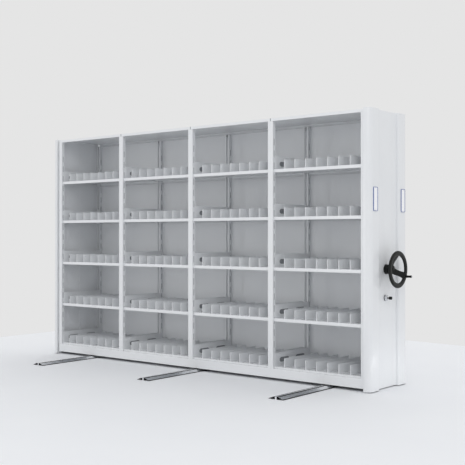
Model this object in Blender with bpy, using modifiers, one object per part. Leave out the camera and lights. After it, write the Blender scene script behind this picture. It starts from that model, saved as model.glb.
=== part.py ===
"""Compact mobile shelving: a four-bay carriage that rolls on three floor rails.

Metres, +Z up. +X runs along the shelving to its drive end, and -Y is the open front.
The origin lies on the floor under the middle rail, half way through the carriage's depth.
A handwheel at the drive end turns a chain, the chain turns the drive axle, and the axle's
wheels roll the carriage along the rails.
"""

import math

import bmesh
import bpy
from mathutils import Matrix

# Fits
FIT = 0.0003                # gap between pieces that touch
RUN = 0.0004                # radial gap round a shaft or pin that turns
WELD = 0.0005               # how far welded pieces run into each other
OVERCUT = 0.010             # how far a cutter runs past the face that it opens

# Bays
BAY_COUNT = 4
BAY_PITCH = 0.900
BODY_X = -0.060             # middle of the shelving, from the middle rail
FRAME_DEPTH = 0.560         # over the front and rear posts

# Floor rails
RAIL_PITCH = 1.380
RAIL_W = 0.140
RAIL_H = 0.020
RAIL_BAR_W = 0.016
RAIL_GROOVE_W = 0.012
RAIL_WEB = 0.004            # plate under the bar and the grooves
RAIL_CREST_W = 0.004        # flat along the top of each ramp
RAIL_CREST_H = 0.018
RAIL_RAMP_T = 0.003
RAIL_TOE_H = 0.001
TRAVEL = 0.600              # how far the carriage rolls towards the front
RAIL_FRONT_MARGIN = 0.045
RAIL_REAR_REACH = 0.060
RAIL_PLACES = {"left": -1, "middle": 0, "right": 1}

# Wheels and axles
WHEEL_R = 0.040
WHEEL_FLANGE_R = 0.045
WHEEL_FLANGE_T = 0.004
WHEEL_SIDE_PLAY = 0.001     # rail bar to flange, each side
WHEEL_END_PLAY = 0.001      # wheel to cross plate, each side
WHEEL_SIDES = 16
AXLE_R = 0.010
AXLE_END = 0.006            # axle past its last bearing and past the sprocket
PIN_R = 0.008
AXLE_Y = 0.190              # from the middle of the depth to each row of wheels
SHAFT_SIDES = 12

# Base frame
BASE_CLEARANCE = 0.026
BASE_H = 0.077
BASE_SHEET = 0.002
BASE_FLANGE = 0.040
CROSS_PLATE_T = 0.004
BEARING_R = 0.020
BEARING_SEAT_R = 0.016      # hole in the cross plate that the bearing is welded over
BEARING_L = 0.010

# Upright frames
POST_W = 0.052
END_POST_W = 0.042
POST_D = 0.035
POST_LIP = 0.014
POST_SHEET = 0.0015
POST_LENGTH = 2.0744
TIE_GAP = 0.001             # from the tie's edge to the post lip beside it

# Bracket plates welded to the ends of the shelves, which hang on the posts by them
BRACKET_SHEET = 0.0015
BRACKET_LAP = 0.005         # how far a plate runs over the flanges of the posts
BRACKET_RISE = 0.111        # above the shelf
BRACKET_SLOT_L = 0.142
BRACKET_SLOT_H = 0.040
BRACKET_SLOT_RISE = 0.049
BRACKET_SLOT_Y = 0.118
SLOT_END_STEPS = 3          # facets round each end of a slot

# Shelves
DECK_LIP = 0.0147
SHELF_LIP = 0.026
SHELF_RETURN = 0.015
SHELF_SHEET = 0.0010
SHELF_SETBACK = 0.016       # behind the face of the posts, front and rear
FIRST_RISE = 0.4055         # from the deck to the first hung shelf
HOOK_PITCH = 0.025          # smallest step between two shelf heights
HOOK_STEPS = (17, 17, 16)   # steps from one hung shelf to the next

# Dividers on each shelf
DIVIDER_COUNT = 7
DIVIDER_H = 0.075
DIVIDER_D = 0.500
DIVIDER_FLANGE = 0.004
DIVIDER_SHEET = 0.0012
DIVIDER_SETBACK = 0.002

# Covers and back panels
COVER_H = 0.023
COVER_RETURN = 0.015
COVER_SHEET = 0.0010
BACK_SHEET = 0.0010

# End panels
PANEL_DEPTH = 0.600
PANEL_BODY = 0.0525         # thickness over the pillars
PANEL_SHEET = 0.0012
PANEL_FLOOR_GAP = 0.006
PANEL_RISE = 0.0095         # above the top covers
PILLAR_EDGE_R = 0.046
PILLAR_FALL_W = 0.040       # width of the curve from a pillar's flat down to the recess
PILLAR_FALL_D = 0.021       # depth of that curve
RECESS_W = 0.300
RECESS_DEPTH = 0.0315
RECESS_FOOT_R = 0.006
PLAIN_EDGE_R = 0.020
PANEL_LAP = 0.025           # how far the plain panel's folds run over the end posts
EDGE_STEPS = 6
FOOT_STEPS = 2

# Chain drive
CHAIN_PITCH = 0.0127
CHAIN_W = 0.008
CHAIN_T = 0.006
CHAIN_ARC_STEPS = 8
UPPER_TEETH = 10
LOWER_TEETH = 18
TOOTH_H = 0.004
TIP_START = 0.35            # share of a tooth's turn
TIP_END = 0.65
SPROCKET_T = 0.006

# Handwheel
HANDWHEEL_Z = 0.948
HANDWHEEL_R = 0.148
RIM_RADIAL = 0.040
RIM_AXIAL = 0.020
RIM_STANDOFF = 0.108        # middle of the rim, from the recess
RIM_SIDES = 32
RIM_SECTION_SIDES = 8
HUB_R = 0.036
HUB_L = 0.028
HUB_EDGE = 0.006
HUB_GAP = 0.004             # housing to hub
ARM_COUNT = 3
ARM_W = 0.046
ARM_T = 0.010
ARM_BURY = 0.010            # arm into the hub
ARM_STEPS = 6
ARM_TURN = math.radians(93.0)
SHAFT_R = 0.008
SHAFT_HOLE_R = 0.012        # in the recess, behind the housing
SHAFT_TAIL = 0.004          # past the inner sheet
SHAFT_HUB_INSET = 0.002
HOUSING_R = 0.040
HOUSING_L = 0.034
HOUSING_EDGE = 0.005
ROUND_SIDES = 20

# Crank grip
GRIP_ARM = -1               # arms counted round from the top one
GRIP_PLACE_R = 0.130
GRIP_R = 0.0105
GRIP_WAIST = 0.0015
GRIP_L = 0.048
GRIP_EDGE = 0.002
GRIP_SIDES = 12
GRIP_BOLT_R = 0.004
GRIP_BOLT_DEPTH = 0.011     # into the rim
GRIP_HEAD_R = 0.0080
GRIP_HEAD_L = 0.003

# Lock
LOCK_Z = 0.720
LOCK_SIDES = 16
LOCK_Y = -0.010
LOCK_R = 0.024
LOCK_PROUD = 0.028
LOCK_EDGE = 0.003
LOCK_TAIL_R = 0.0125
LOCK_TAIL_L = 0.012
LOCK_PLUG_R = 0.009
KEY_SHANK_L = 0.004
KEY_SHANK_H = 0.009
KEY_T = 0.004
KEY_BOW_L = 0.030
KEY_BOW_H = 0.026
KEY_BOW_EDGE = 0.007

# Label holders
LABEL_W = 0.064
LABEL_H = 0.186
LABEL_T = 0.006
LABEL_RIM = 0.006
LABEL_POCKET = 0.004
LABEL_Z = 1.501

# Heights and places that follow from the sizes above
AXLE_Z = RAIL_H + FIT + WHEEL_R
WHEEL_HALF_W = RAIL_BAR_W / 2 + WHEEL_SIDE_PLAY + WHEEL_FLANGE_T
WHEEL_BOX_HALF = WHEEL_HALF_W + WHEEL_END_PLAY
BASE_TOP = BASE_CLEARANCE + BASE_H
POST_FOOT = BASE_TOP + FIT
POST_TOP = POST_FOOT + POST_LENGTH
COVER_TOP = POST_TOP + FIT + COVER_H
PANEL_TOP = COVER_TOP + PANEL_RISE
BAY_CLEAR = BAY_PITCH - POST_W
BAY_HALF = BAY_COUNT * BAY_PITCH / 2
END_X = BAY_HALF - POST_W / 2 + END_POST_W
PANEL_X = END_X + FIT
PILLAR_X = PANEL_X + PANEL_BODY
RECESS_X = PILLAR_X - RECESS_DEPTH
FRONT_Y = -FRAME_DEPTH / 2
DECK_Z = POST_FOOT + DECK_LIP
CHAIN_X = (PANEL_X + RECESS_X) / 2
UPPER_SPROCKET_R = CHAIN_PITCH * UPPER_TEETH / math.tau
LOWER_SPROCKET_R = CHAIN_PITCH * LOWER_TEETH / math.tau
HUB_X = RECESS_X + FIT + HOUSING_L + HUB_GAP
RIM_X = RECESS_X + RIM_STANDOFF
RIM_R = HANDWHEEL_R - RIM_RADIAL / 2
RIM_FACE_X = RIM_X + RIM_AXIAL / 2
GRIP_TURN = ARM_TURN + GRIP_ARM * math.tau / ARM_COUNT

FINISHES = {
    "powder coat": ((0.80, 0.82, 0.83), 0.42, 0.0),
    "rolled rail": ((0.42, 0.43, 0.45), 0.40, 1.0),
    "black plastic": ((0.025, 0.027, 0.026), 0.45, 0.0),
    "bright steel": ((0.62, 0.62, 0.63), 0.28, 1.0),
    "cast iron": ((0.16, 0.16, 0.17), 0.60, 1.0),
    "chrome": ((0.80, 0.80, 0.81), 0.10, 1.0),
    "label plastic": ((0.33, 0.41, 0.62), 0.25, 0.0),
}
SHARP_ANGLE = math.radians(35.0)
FLAT_ANGLE = math.radians(0.05)  # faces this close to level are one face

# The world axes of an outline's first axis, second axis and extrusion
ALONG_Z = Matrix.Identity(4)
ALONG_X = Matrix(((0, 0, 1, 0), (1, 0, 0, 0), (0, 1, 0, 0), (0, 0, 0, 1)))
ALONG_Y = Matrix(((1, 0, 0, 0), (0, 0, -1, 0), (0, 1, 0, 0), (0, 0, 0, 1)))


def new_group(name):
    """A collection in the scene."""
    group = bpy.data.collections.new(name)
    bpy.context.scene.collection.children.link(group)
    return group


def axis_empty(name, place, parent=None):
    """An empty that marks a joint's axis, for the pieces that turn or slide with it."""
    empty = bpy.data.objects.new(name, None)
    PARTS.objects.link(empty)
    empty.parent = parent
    empty.location = place
    return empty


def finish(name):
    """The Principled material of one finish."""
    material = bpy.data.materials.get(name)
    if material is None:
        colour, roughness, metallic = FINISHES[name]
        material = bpy.data.materials.new(name)
        material.use_nodes = True
        shader = material.node_tree.nodes["Principled BSDF"]
        shader.inputs["Base Color"].default_value = (*colour, 1.0)
        shader.inputs["Roughness"].default_value = roughness
        shader.inputs["Metallic"].default_value = metallic
    return material


def blank(data):
    """A piece that is still being made, drawn as wire and left out of renders."""
    piece = bpy.data.objects.new("blank", data)
    CUTTERS.objects.link(piece)
    piece.hide_render = True
    piece.display_type = "WIRE"
    return piece


def mesh_blank(work):
    """A blank from a bmesh."""
    mesh = bpy.data.meshes.new("blank")
    work.to_mesh(mesh)
    work.free()
    return blank(mesh)


def settle(piece):
    """Apply a blank's modifiers and place to a welded mesh whose faces point out."""
    bpy.context.view_layer.update()
    graph = bpy.context.evaluated_depsgraph_get()
    mesh = bpy.data.meshes.new_from_object(piece.evaluated_get(graph))
    mesh.transform(piece.matrix_world)
    bpy.data.objects.remove(piece)
    work = bmesh.new()
    work.from_mesh(mesh)
    bmesh.ops.remove_doubles(work, verts=work.verts, dist=0.000001)
    bmesh.ops.dissolve_limit(work, angle_limit=FLAT_ANGLE, verts=work.verts, edges=work.edges)
    bmesh.ops.recalc_face_normals(work, faces=work.faces)
    return mesh_blank(work)


def box(low, high):
    """A cube primitive stretched between two corners."""
    work = bmesh.new()
    size = [b - a for a, b in zip(low, high)]
    middle = [(a + b) / 2 for a, b in zip(low, high)]
    bmesh.ops.create_cube(work, matrix=Matrix.LocRotScale(middle, None, size))
    return mesh_blank(work)


def outline_solid(loops, low, high, axes=ALONG_Z):
    """A flat outline with any holes, extruded from low to high along its third axis."""
    curve = bpy.data.curves.new("outline", "CURVE")
    curve.dimensions = "2D"
    curve.fill_mode = "BOTH"
    curve.extrude = (high - low) / 2
    for loop in loops:
        spline = curve.splines.new("POLY")
        spline.points.add(len(loop) - 1)
        for point, (across, up) in zip(spline.points, loop):
            point.co = (across, up, 0.0, 1.0)
        spline.use_cyclic_u = True
    piece = blank(curve)
    piece.matrix_world = axes @ Matrix.Translation((0.0, 0.0, (low + high) / 2))
    return settle(piece)


def folded_sheet(section, low, high, thickness, axes=ALONG_Z):
    """A sheet folded along an open section: the section is its outer face, right of the walk."""
    work = bmesh.new()
    points = [work.verts.new((across, up, low)) for across, up in section]
    edges = [work.edges.new(pair) for pair in zip(points, points[1:])]
    grown = bmesh.ops.extrude_edge_only(work, edges=edges)["geom"]
    raised = [item for item in grown if isinstance(item, bmesh.types.BMVert)]
    bmesh.ops.translate(work, verts=raised, vec=(0.0, 0.0, high - low))
    piece = mesh_blank(work)
    piece.matrix_world = axes
    wall = piece.modifiers.new("thickness", "SOLIDIFY")
    wall.thickness = thickness
    wall.offset = 1.0
    wall.use_even_offset = True
    return settle(piece)


def turned(profile, sides, axes=ALONG_X):
    """A profile of (radius, along) points turned about the third axis: a ring, or axis to axis."""
    work = bmesh.new()
    points = [work.verts.new((radius, 0.0, along)) for radius, along in profile]
    pairs = list(zip(points, points[1:]))
    if profile[0][0] > 0:
        pairs.append((points[-1], points[0]))
    for pair in pairs:
        work.edges.new(pair)
    piece = mesh_blank(work)
    piece.matrix_world = axes
    screw = piece.modifiers.new("turn", "SCREW")
    screw.angle = math.tau
    screw.steps = sides
    screw.render_steps = sides
    screw.use_merge_vertices = True
    screw.merge_threshold = 0.00001
    return settle(piece)


def rod(radius, low, high, sides=SHAFT_SIDES):
    """A plain round bar along X."""
    return turned([(0.0, high), (radius, high), (radius, low), (0.0, low)], sides)


def moved(piece, place):
    """Shift a blank's mesh."""
    piece.data.transform(Matrix.Translation(place))
    return piece


def grouped(pieces):
    """Blanks that don't touch, held in one mesh."""
    work = bmesh.new()
    for piece in pieces:
        work.from_mesh(piece.data)
        bpy.data.objects.remove(piece)
    return mesh_blank(work)


def combined(body, other, operation):
    """The body welded to, or cut by, the other blank."""
    step = body.modifiers.new(operation, "BOOLEAN")
    step.operation = operation
    step.solver = "EXACT"
    step.object = other
    result = settle(body)
    bpy.data.objects.remove(other)
    return result


def place(name, piece, finish_name, parent, location=(0.0, 0.0, 0.0)):
    """Name a finished blank, give it its finish and hang it on its parent."""
    mesh = piece.data
    bpy.data.objects.remove(piece)
    mesh.materials.clear()
    mesh.materials.append(finish(finish_name))
    mesh.shade_smooth()
    mesh.set_sharp_from_angle(angle=SHARP_ANGLE)
    return copy_of(name, mesh, parent, location)


def copy_of(name, mesh, parent, location):
    """A named object in the parts collection."""
    part = bpy.data.objects.new(name, mesh)
    PARTS.objects.link(part)
    part.parent = parent
    part.location = location
    return part


def oval(centre, along, across, start, end, steps):
    """Points round part of an ellipse with these half widths, angles in degrees."""
    turns = [math.radians(start + (end - start) * step / steps) for step in range(steps + 1)]
    return [(centre[0] + along * math.cos(turn), centre[1] + across * math.sin(turn)) for turn in turns]


def arc(centre, radius, start, end, steps):
    """Points round an arc, angles in degrees."""
    return oval(centre, radius, radius, start, end, steps)


def circle(radius, sides, across=0.0, up=0.0):
    """A closed round loop."""
    return arc((across, up), radius, 0.0, 360.0, sides)[:-1]


def clear_of(radius, sides):
    """Corner radius of a faceted hole whose flats clear a round piece of this radius."""
    return radius / math.cos(math.pi / sides)


def rectangle(low, high):
    """A closed four-cornered loop."""
    return [(low[0], low[1]), (high[0], low[1]), (high[0], high[1]), (low[0], high[1])]


def channel(front, rear, top, drop, fold):
    """Section of a tray: top sheet, lips down at front and rear, and the folds under them."""
    foot = top - drop
    return [(rear - fold, foot), (rear, foot), (rear, top), (front, top), (front, foot), (front + fold, foot)]


def shelf_levels():
    """Heights of the shelf tops, from the deck up."""
    heights = [DECK_Z, DECK_Z + FIRST_RISE]
    for steps in HOOK_STEPS:
        heights.append(heights[-1] + steps * HOOK_PITCH)
    return heights


def shelf_lip(level):
    """The deck sits on the base with a shallow lip, and the shelves above it hang."""
    return DECK_LIP if level == 0 else SHELF_LIP


def rail_x(side):
    """A rail's place along the shelving, from the shelving's middle."""
    return side * RAIL_PITCH - BODY_X


def bay_ends(bay):
    """Where a bay's cover and back panel begin and end."""
    left = -END_X if bay == 0 else -BAY_HALF + bay * BAY_PITCH
    right = END_X if bay == BAY_COUNT - 1 else -BAY_HALF + (bay + 1) * BAY_PITCH
    return left + FIT / 2, right - FIT / 2


def make_rails():
    """Floor rails: a bar between two grooves, with a hollow folded ramp at each side."""
    bar = RAIL_BAR_W / 2
    groove = bar + RAIL_GROOVE_W
    crest = groove + RAIL_CREST_W
    toe = RAIL_W / 2
    half = [(toe, 0.0), (toe, RAIL_TOE_H), (crest, RAIL_CREST_H), (groove, RAIL_CREST_H),
            (groove, RAIL_WEB), (bar, RAIL_WEB), (bar, RAIL_H)]
    outline = half + [(-across, up) for across, up in reversed(half)]
    slope = (RAIL_CREST_H - RAIL_TOE_H) / (toe - crest)
    ceiling = RAIL_CREST_H - RAIL_RAMP_T
    hollow = [(groove + RAIL_RAMP_T, RAIL_TOE_H), (toe - RAIL_RAMP_T / slope, RAIL_TOE_H), (crest, ceiling),
              (groove + RAIL_RAMP_T, ceiling)]
    other = [(-across, up) for across, up in hollow]
    front = -PANEL_DEPTH / 2 - TRAVEL - RAIL_FRONT_MARGIN
    rear = PANEL_DEPTH / 2 + RAIL_REAR_REACH
    for name, side in RAIL_PLACES.items():
        rail = outline_solid([outline, hollow, other], -rear, -front, ALONG_Y)
        place(f"rail_{name}", rail, "rolled rail", None, (side * RAIL_PITCH, 0.0, 0.0))


def make_base(carriage):
    """Welded base: two channels, a pair of cross plates over each rail, bearings and idle pins."""
    top, foot, rear = BASE_TOP, BASE_CLEARANCE, -FRONT_Y
    front_web = [(FRONT_Y + BASE_FLANGE, top), (FRONT_Y, top), (FRONT_Y, foot), (FRONT_Y + BASE_FLANGE, foot)]
    rear_web = [(rear - BASE_FLANGE, foot), (rear, foot), (rear, top), (rear - BASE_FLANGE, top)]
    beams = [folded_sheet(web, -END_X, END_X, BASE_SHEET, ALONG_X) for web in (front_web, rear_web)]
    edge = BASE_SHEET - WELD
    plate = [rectangle((FRONT_Y + edge, foot + edge), (rear - edge, top - edge)),
             circle(BEARING_SEAT_R, SHAFT_SIDES, AXLE_Y, AXLE_Z)]
    bore = clear_of(AXLE_R + RUN, SHAFT_SIDES)
    plates, bearings, pins = [], [], []
    inner, outer = WHEEL_BOX_HALF, WHEEL_BOX_HALF + CROSS_PLATE_T
    for side in RAIL_PLACES.values():
        for low, seat in ((-outer, -outer - BEARING_L + WELD), (inner, outer - WELD)):
            plates.append(outline_solid(plate, rail_x(side) + low, rail_x(side) + low + CROSS_PLATE_T, ALONG_X))
            ring = [circle(BEARING_R, SHAFT_SIDES), circle(bore, SHAFT_SIDES)]
            bearing = outline_solid(ring, rail_x(side) + seat, rail_x(side) + seat + BEARING_L, ALONG_X)
            bearings.append(moved(bearing, (0.0, AXLE_Y, AXLE_Z)))
        pin = rod(PIN_R, -inner - CROSS_PLATE_T / 2, inner + CROSS_PLATE_T / 2)
        pins.append(moved(pin, (rail_x(side), -AXLE_Y, AXLE_Z)))
    base = grouped(beams)
    for group in (plates, bearings, pins):
        base = combined(base, grouped(group), "UNION")
    place("base_frame", base, "powder coat", carriage)


def upright_frame(width):
    """Front and rear channel posts, joined by a flat tie at the foot."""
    edge = width / 2
    back = FRONT_Y + POST_D
    walk = [(POST_LIP - edge, back), (-edge, back), (-edge, FRONT_Y),
            (edge, FRONT_Y), (edge, back), (edge - POST_LIP, back)]
    posts = []
    for mirror in (Matrix.Identity(4), Matrix.Scale(-1.0, 4, (0.0, 1.0, 0.0))):
        post = folded_sheet(walk, POST_FOOT, POST_TOP, POST_SHEET)
        post.data.transform(mirror)
        posts.append(post)
    posts[1].data.flip_normals()
    across = edge - POST_LIP - TIE_GAP
    along = -FRONT_Y - POST_SHEET + WELD
    foot = POST_FOOT + FIT
    tie = box((-across, -along, foot), (across, along, foot + POST_SHEET))
    return combined(grouped(posts), tie, "UNION")


def make_uprights(carriage):
    """Upright frames: one at each end and one between each pair of bays."""
    end_x = END_X - END_POST_W / 2
    left = place("upright_frame_1", upright_frame(END_POST_W), "powder coat", carriage, (-end_x, 0.0, 0.0))
    copy_of(f"upright_frame_{BAY_COUNT + 1}", left.data, carriage, (end_x, 0.0, 0.0))
    lines = [bay * BAY_PITCH - BAY_HALF for bay in range(1, BAY_COUNT)]
    inner = place("upright_frame_2", upright_frame(POST_W), "powder coat", carriage, (lines[0], 0.0, 0.0))
    for number, line in enumerate(lines[1:], start=3):
        copy_of(f"upright_frame_{number}", inner.data, carriage, (line, 0.0, 0.0))


def bracket_loops():
    """The end plate of a shelf, which stands on the tray between the posts, and its two hand slots."""
    reach = -FRONT_Y - POST_D + BRACKET_LAP
    loops = [rectangle((-reach, -WELD), (reach, BRACKET_RISE))]
    radius = BRACKET_SLOT_H / 2
    run = BRACKET_SLOT_L / 2 - radius
    for middle in (-BRACKET_SLOT_Y, BRACKET_SLOT_Y):
        loops.append(arc((middle + run, BRACKET_SLOT_RISE), radius, -90.0, 90.0, SLOT_END_STEPS)
                     + arc((middle - run, BRACKET_SLOT_RISE), radius, 90.0, 270.0, SLOT_END_STEPS))
    return loops


def shelf_tray(lip):
    """A folded tray with its row of upright dividers and a bracket plate at each end."""
    front = FRONT_Y + SHELF_SETBACK
    half = BAY_CLEAR / 2 - FIT
    tray = folded_sheet(channel(front, -front, 0.0, lip, SHELF_RETURN), -half, half, SHELF_SHEET, ALONG_X)
    face = front + DIVIDER_SETBACK
    pitch = BAY_CLEAR / (DIVIDER_COUNT + 1)
    dividers = []
    for number in range(DIVIDER_COUNT):
        across = (number + 1) * pitch - BAY_CLEAR / 2
        section = [(across - DIVIDER_FLANGE, face), (across, face), (across, face + DIVIDER_D)]
        dividers.append(folded_sheet(section, -WELD, DIVIDER_H, DIVIDER_SHEET))
    plates = [outline_solid(bracket_loops(), low, low + BRACKET_SHEET, ALONG_X)
              for low in (FIT - half, half - FIT - BRACKET_SHEET)]
    return combined(tray, grouped(dividers + plates), "UNION")


def make_shelves(carriage):
    """Five shelves in each bay: the deck on the base, and four that hang on the posts."""
    for level, height in enumerate(shelf_levels()):
        if level < 2:
            mesh = shelf_tray(shelf_lip(level))
        for bay in range(BAY_COUNT):
            middle = -BAY_HALF + (bay + 0.5) * BAY_PITCH
            name = f"shelf_bay_{bay + 1}_level_{level + 1}"
            if level < 2 and bay == 0:
                mesh = place(name, mesh, "powder coat", carriage, (middle, 0.0, height)).data
            else:
                copy_of(name, mesh, carriage, (middle, 0.0, height))


def make_covers(carriage):
    """Top covers with their front fascia, and the sheets that close the back."""
    section = channel(FRONT_Y, -FRONT_Y, COVER_TOP, COVER_H, COVER_RETURN)
    back = -FRONT_Y + FIT
    for bay in range(BAY_COUNT):
        left, right = bay_ends(bay)
        cover = folded_sheet(section, left, right, COVER_SHEET, ALONG_X)
        place(f"top_cover_{bay + 1}", cover, "powder coat", carriage)
        sheet = box((left, back, BASE_TOP), (right, back + BACK_SHEET, COVER_TOP))
        place(f"back_panel_{bay + 1}", sheet, "powder coat", carriage)


def drive_outline(inset, mouth):
    """Plan of the drive panel: two rounded pillars beside a recess, drawn in by the inset."""
    depth = PANEL_DEPTH / 2
    wall = RECESS_W / 2
    edge = (PILLAR_X - PILLAR_EDGE_R, PILLAR_EDGE_R - depth)
    shoulder = (PILLAR_X - PILLAR_FALL_D, -wall - PILLAR_FALL_W)
    foot = (RECESS_X + RECESS_FOOT_R, RECESS_FOOT_R - wall)
    half = [(mouth, -depth + inset)]
    half += arc(edge, PILLAR_EDGE_R - inset, -90.0, 0.0, EDGE_STEPS)
    half += oval(shoulder, PILLAR_FALL_D - inset, PILLAR_FALL_W - inset, 0.0, 90.0, EDGE_STEPS)
    half += arc(foot, RECESS_FOOT_R + inset, 270.0, 180.0, FOOT_STEPS)
    return half + [(along, -across) for along, across in reversed(half)]


def plain_outline(inset, mouth):
    """Plan of the plain end panel: a tray with two rounded edges."""
    depth = PANEL_DEPTH / 2
    centre = (PLAIN_EDGE_R - PILLAR_X, PLAIN_EDGE_R - depth)
    half = [(-mouth, -depth + inset)] + arc(centre, PLAIN_EDGE_R - inset, 270.0, 180.0, EDGE_STEPS)
    return half + [(along, -across) for along, across in reversed(half)]


def plain_hollow():
    """Plan of the plain panel's inside, with the mouth between the returns that seat on the posts."""
    behind = PANEL_X + PANEL_SHEET
    gap = FRAME_DEPTH / 2 - PANEL_LAP
    half = [(OVERCUT - PANEL_X, -gap), (-behind, -gap)]
    half += plain_outline(PANEL_SHEET, behind)[:EDGE_STEPS + 2]
    return half + [(along, -across) for along, across in reversed(half)]


def panel_shell(outer, hollow):
    """A sheet cover with a closed top, open below and towards the shelving."""
    shell = outline_solid([outer], PANEL_FLOOR_GAP, PANEL_TOP)
    inside = outline_solid([hollow], PANEL_FLOOR_GAP - OVERCUT, PANEL_TOP - PANEL_SHEET)
    return combined(shell, inside, "DIFFERENCE")


def make_end_panels(carriage):
    """The drive end's cover and inner sheet, and the plain panel at the other end."""
    cover = panel_shell(drive_outline(0.0, PANEL_X), drive_outline(PANEL_SHEET, PANEL_X - OVERCUT))
    holes = [circle(SHAFT_HOLE_R, SHAFT_SIDES, 0.0, HANDWHEEL_Z),
             circle(clear_of(LOCK_TAIL_R + FIT, LOCK_SIDES), LOCK_SIDES, LOCK_Y, LOCK_Z)]
    cutters = [outline_solid([hole], RECESS_X - OVERCUT, RECESS_X + OVERCUT, ALONG_X) for hole in holes]
    cover = combined(cover, grouped(cutters), "DIFFERENCE")
    place("drive_end_panel", cover, "powder coat", carriage)
    reach = PANEL_DEPTH / 2 - PANEL_SHEET - FIT
    sheet = rectangle((-reach, PANEL_FLOOR_GAP), (reach, PANEL_TOP - PANEL_SHEET - FIT))
    loops = [sheet, circle(clear_of(SHAFT_R + RUN, SHAFT_SIDES), SHAFT_SIDES, 0.0, HANDWHEEL_Z),
             circle(clear_of(AXLE_R + RUN, SHAFT_SIDES), SHAFT_SIDES, AXLE_Y, AXLE_Z)]
    inner = outline_solid(loops, PANEL_X, PANEL_X + PANEL_SHEET, ALONG_X)
    place("drive_end_inner_sheet", inner, "powder coat", carriage)
    plain = panel_shell(plain_outline(0.0, PANEL_X), plain_hollow())
    place("plain_end_panel", plain, "powder coat", carriage)


def make_label_holders(carriage):
    """A framed pocket for a label card on the flat of each pillar."""
    flat_start = PANEL_DEPTH / 2 - PILLAR_EDGE_R
    flat_end = RECESS_W / 2 + PILLAR_FALL_W
    middle = (flat_start + flat_end) / 2
    face = PILLAR_X + FIT
    for name, side in (("front", -1), ("rear", 1)):
        holder = box((face, -LABEL_W / 2, -LABEL_H / 2), (face + LABEL_T, LABEL_W / 2, LABEL_H / 2))
        width, height = LABEL_W / 2 - LABEL_RIM, LABEL_H / 2 - LABEL_RIM
        floor = face + LABEL_T - LABEL_POCKET
        pocket = box((floor, -width, -height), (face + LABEL_T + OVERCUT, width, height))
        holder = combined(holder, pocket, "DIFFERENCE")
        place(f"label_holder_{name}", holder, "label plastic", carriage, (0.0, side * middle, LABEL_Z))


def make_wheels(axle, idle_axes):
    """Flanged wheels: three fixed on the drive axle, and three that idle on the base's pins."""
    tread = RAIL_BAR_W / 2 + WHEEL_SIDE_PLAY
    for name, side in RAIL_PLACES.items():
        for kind, parent, bore, along in (("drive", axle, AXLE_R + FIT, rail_x(side)),
                                          ("idle", idle_axes[name], PIN_R + RUN, 0.0)):
            hole = clear_of(bore, WHEEL_SIDES)
            half = [(hole, WHEEL_HALF_W), (WHEEL_FLANGE_R, WHEEL_HALF_W), (WHEEL_FLANGE_R, tread),
                    (WHEEL_R, tread)]
            profile = half + [(radius, -across) for radius, across in reversed(half)]
            wheel = turned(profile, WHEEL_SIDES)
            place(f"{kind}_wheel_{name}", wheel, "cast iron", parent, (along, 0.0, 0.0))


def make_axle(axle):
    """The drive axle along the base, with the lower sprocket on its end."""
    low = rail_x(-1) - WHEEL_BOX_HALF - CROSS_PLATE_T - BEARING_L - AXLE_END
    shaft = rod(AXLE_R, low, CHAIN_X + SPROCKET_T / 2 + AXLE_END / 2)
    place("drive_axle", shaft, "bright steel", axle)
    wheel = sprocket(LOWER_SPROCKET_R, LOWER_TEETH, AXLE_R)
    place("lower_sprocket", wheel, "bright steel", axle)


def sprocket(pitch_r, teeth, shaft_r):
    """A toothed plate on a shaft: each tooth has a root point and two tip corners."""
    tip = pitch_r - FIT
    outline = []
    for tooth in range(teeth):
        for share, radius in ((0.0, tip - TOOTH_H), (TIP_START, tip), (TIP_END, tip)):
            turn = (tooth + share) * math.tau / teeth
            outline.append((radius * math.cos(turn), radius * math.sin(turn)))
    bore = circle(shaft_r + FIT, SHAFT_SIDES)
    return outline_solid([outline, bore], CHAIN_X - SPROCKET_T / 2, CHAIN_X + SPROCKET_T / 2, ALONG_X)


def chain_loop(thicken):
    """A loop round both sprockets: two arcs joined by the outer tangents."""
    upper, lower = (0.0, HANDWHEEL_Z), (AXLE_Y, AXLE_Z)
    span = math.dist(upper, lower)
    way = math.degrees(math.atan2(lower[1] - upper[1], lower[0] - upper[0]))
    lean = math.degrees(math.acos((UPPER_SPROCKET_R - LOWER_SPROCKET_R) / span))
    clear = math.cos(math.pi / (2 * CHAIN_ARC_STEPS))
    upper_r, lower_r = UPPER_SPROCKET_R / clear + thicken, LOWER_SPROCKET_R / clear + thicken
    return (arc(upper, upper_r, way + lean, way + 360.0 - lean, CHAIN_ARC_STEPS)
            + arc(lower, lower_r, way - lean, way + lean, CHAIN_ARC_STEPS))


def make_chain(carriage):
    """The drive chain, an endless band that runs round in its own track inside the panel."""
    loops = [chain_loop(CHAIN_T), chain_loop(0.0)]
    chain = outline_solid(loops, CHAIN_X - CHAIN_W / 2, CHAIN_X + CHAIN_W / 2, ALONG_X)
    place("drive_chain", chain, "bright steel", carriage)


def handwheel_arm(number):
    """A flat arm that sweeps out from the hub to the rim along an S-shaped line."""
    start, end = HUB_R - ARM_BURY, RIM_R
    low, high = HUB_X + HUB_L / 2, RIM_X
    near, far = [], []
    for step in range(ARM_STEPS + 1):
        share = step / ARM_STEPS
        rise = share * share * (3.0 - 2.0 * share)
        slope = 6.0 * share * (1.0 - share) * (high - low) / (end - start)
        stretch = math.hypot(1.0, slope)
        out, along = start + share * (end - start), low + rise * (high - low)
        offset = (-slope / stretch * ARM_T / 2, ARM_T / (2 * stretch))
        near.append((out - offset[0], along - offset[1]))
        far.append((out + offset[0], along + offset[1]))
    arm = outline_solid([near + far[::-1]], -ARM_W / 2, ARM_W / 2)
    turn = ARM_TURN + number * math.tau / ARM_COUNT
    upright = Matrix(((0, 1, 0, 0), (1, 0, 0, 0), (0, 0, -1, 0), (0, 0, 0, 1)))
    arm.data.transform(Matrix.Rotation(turn, 4, "X") @ upright)
    return arm


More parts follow.
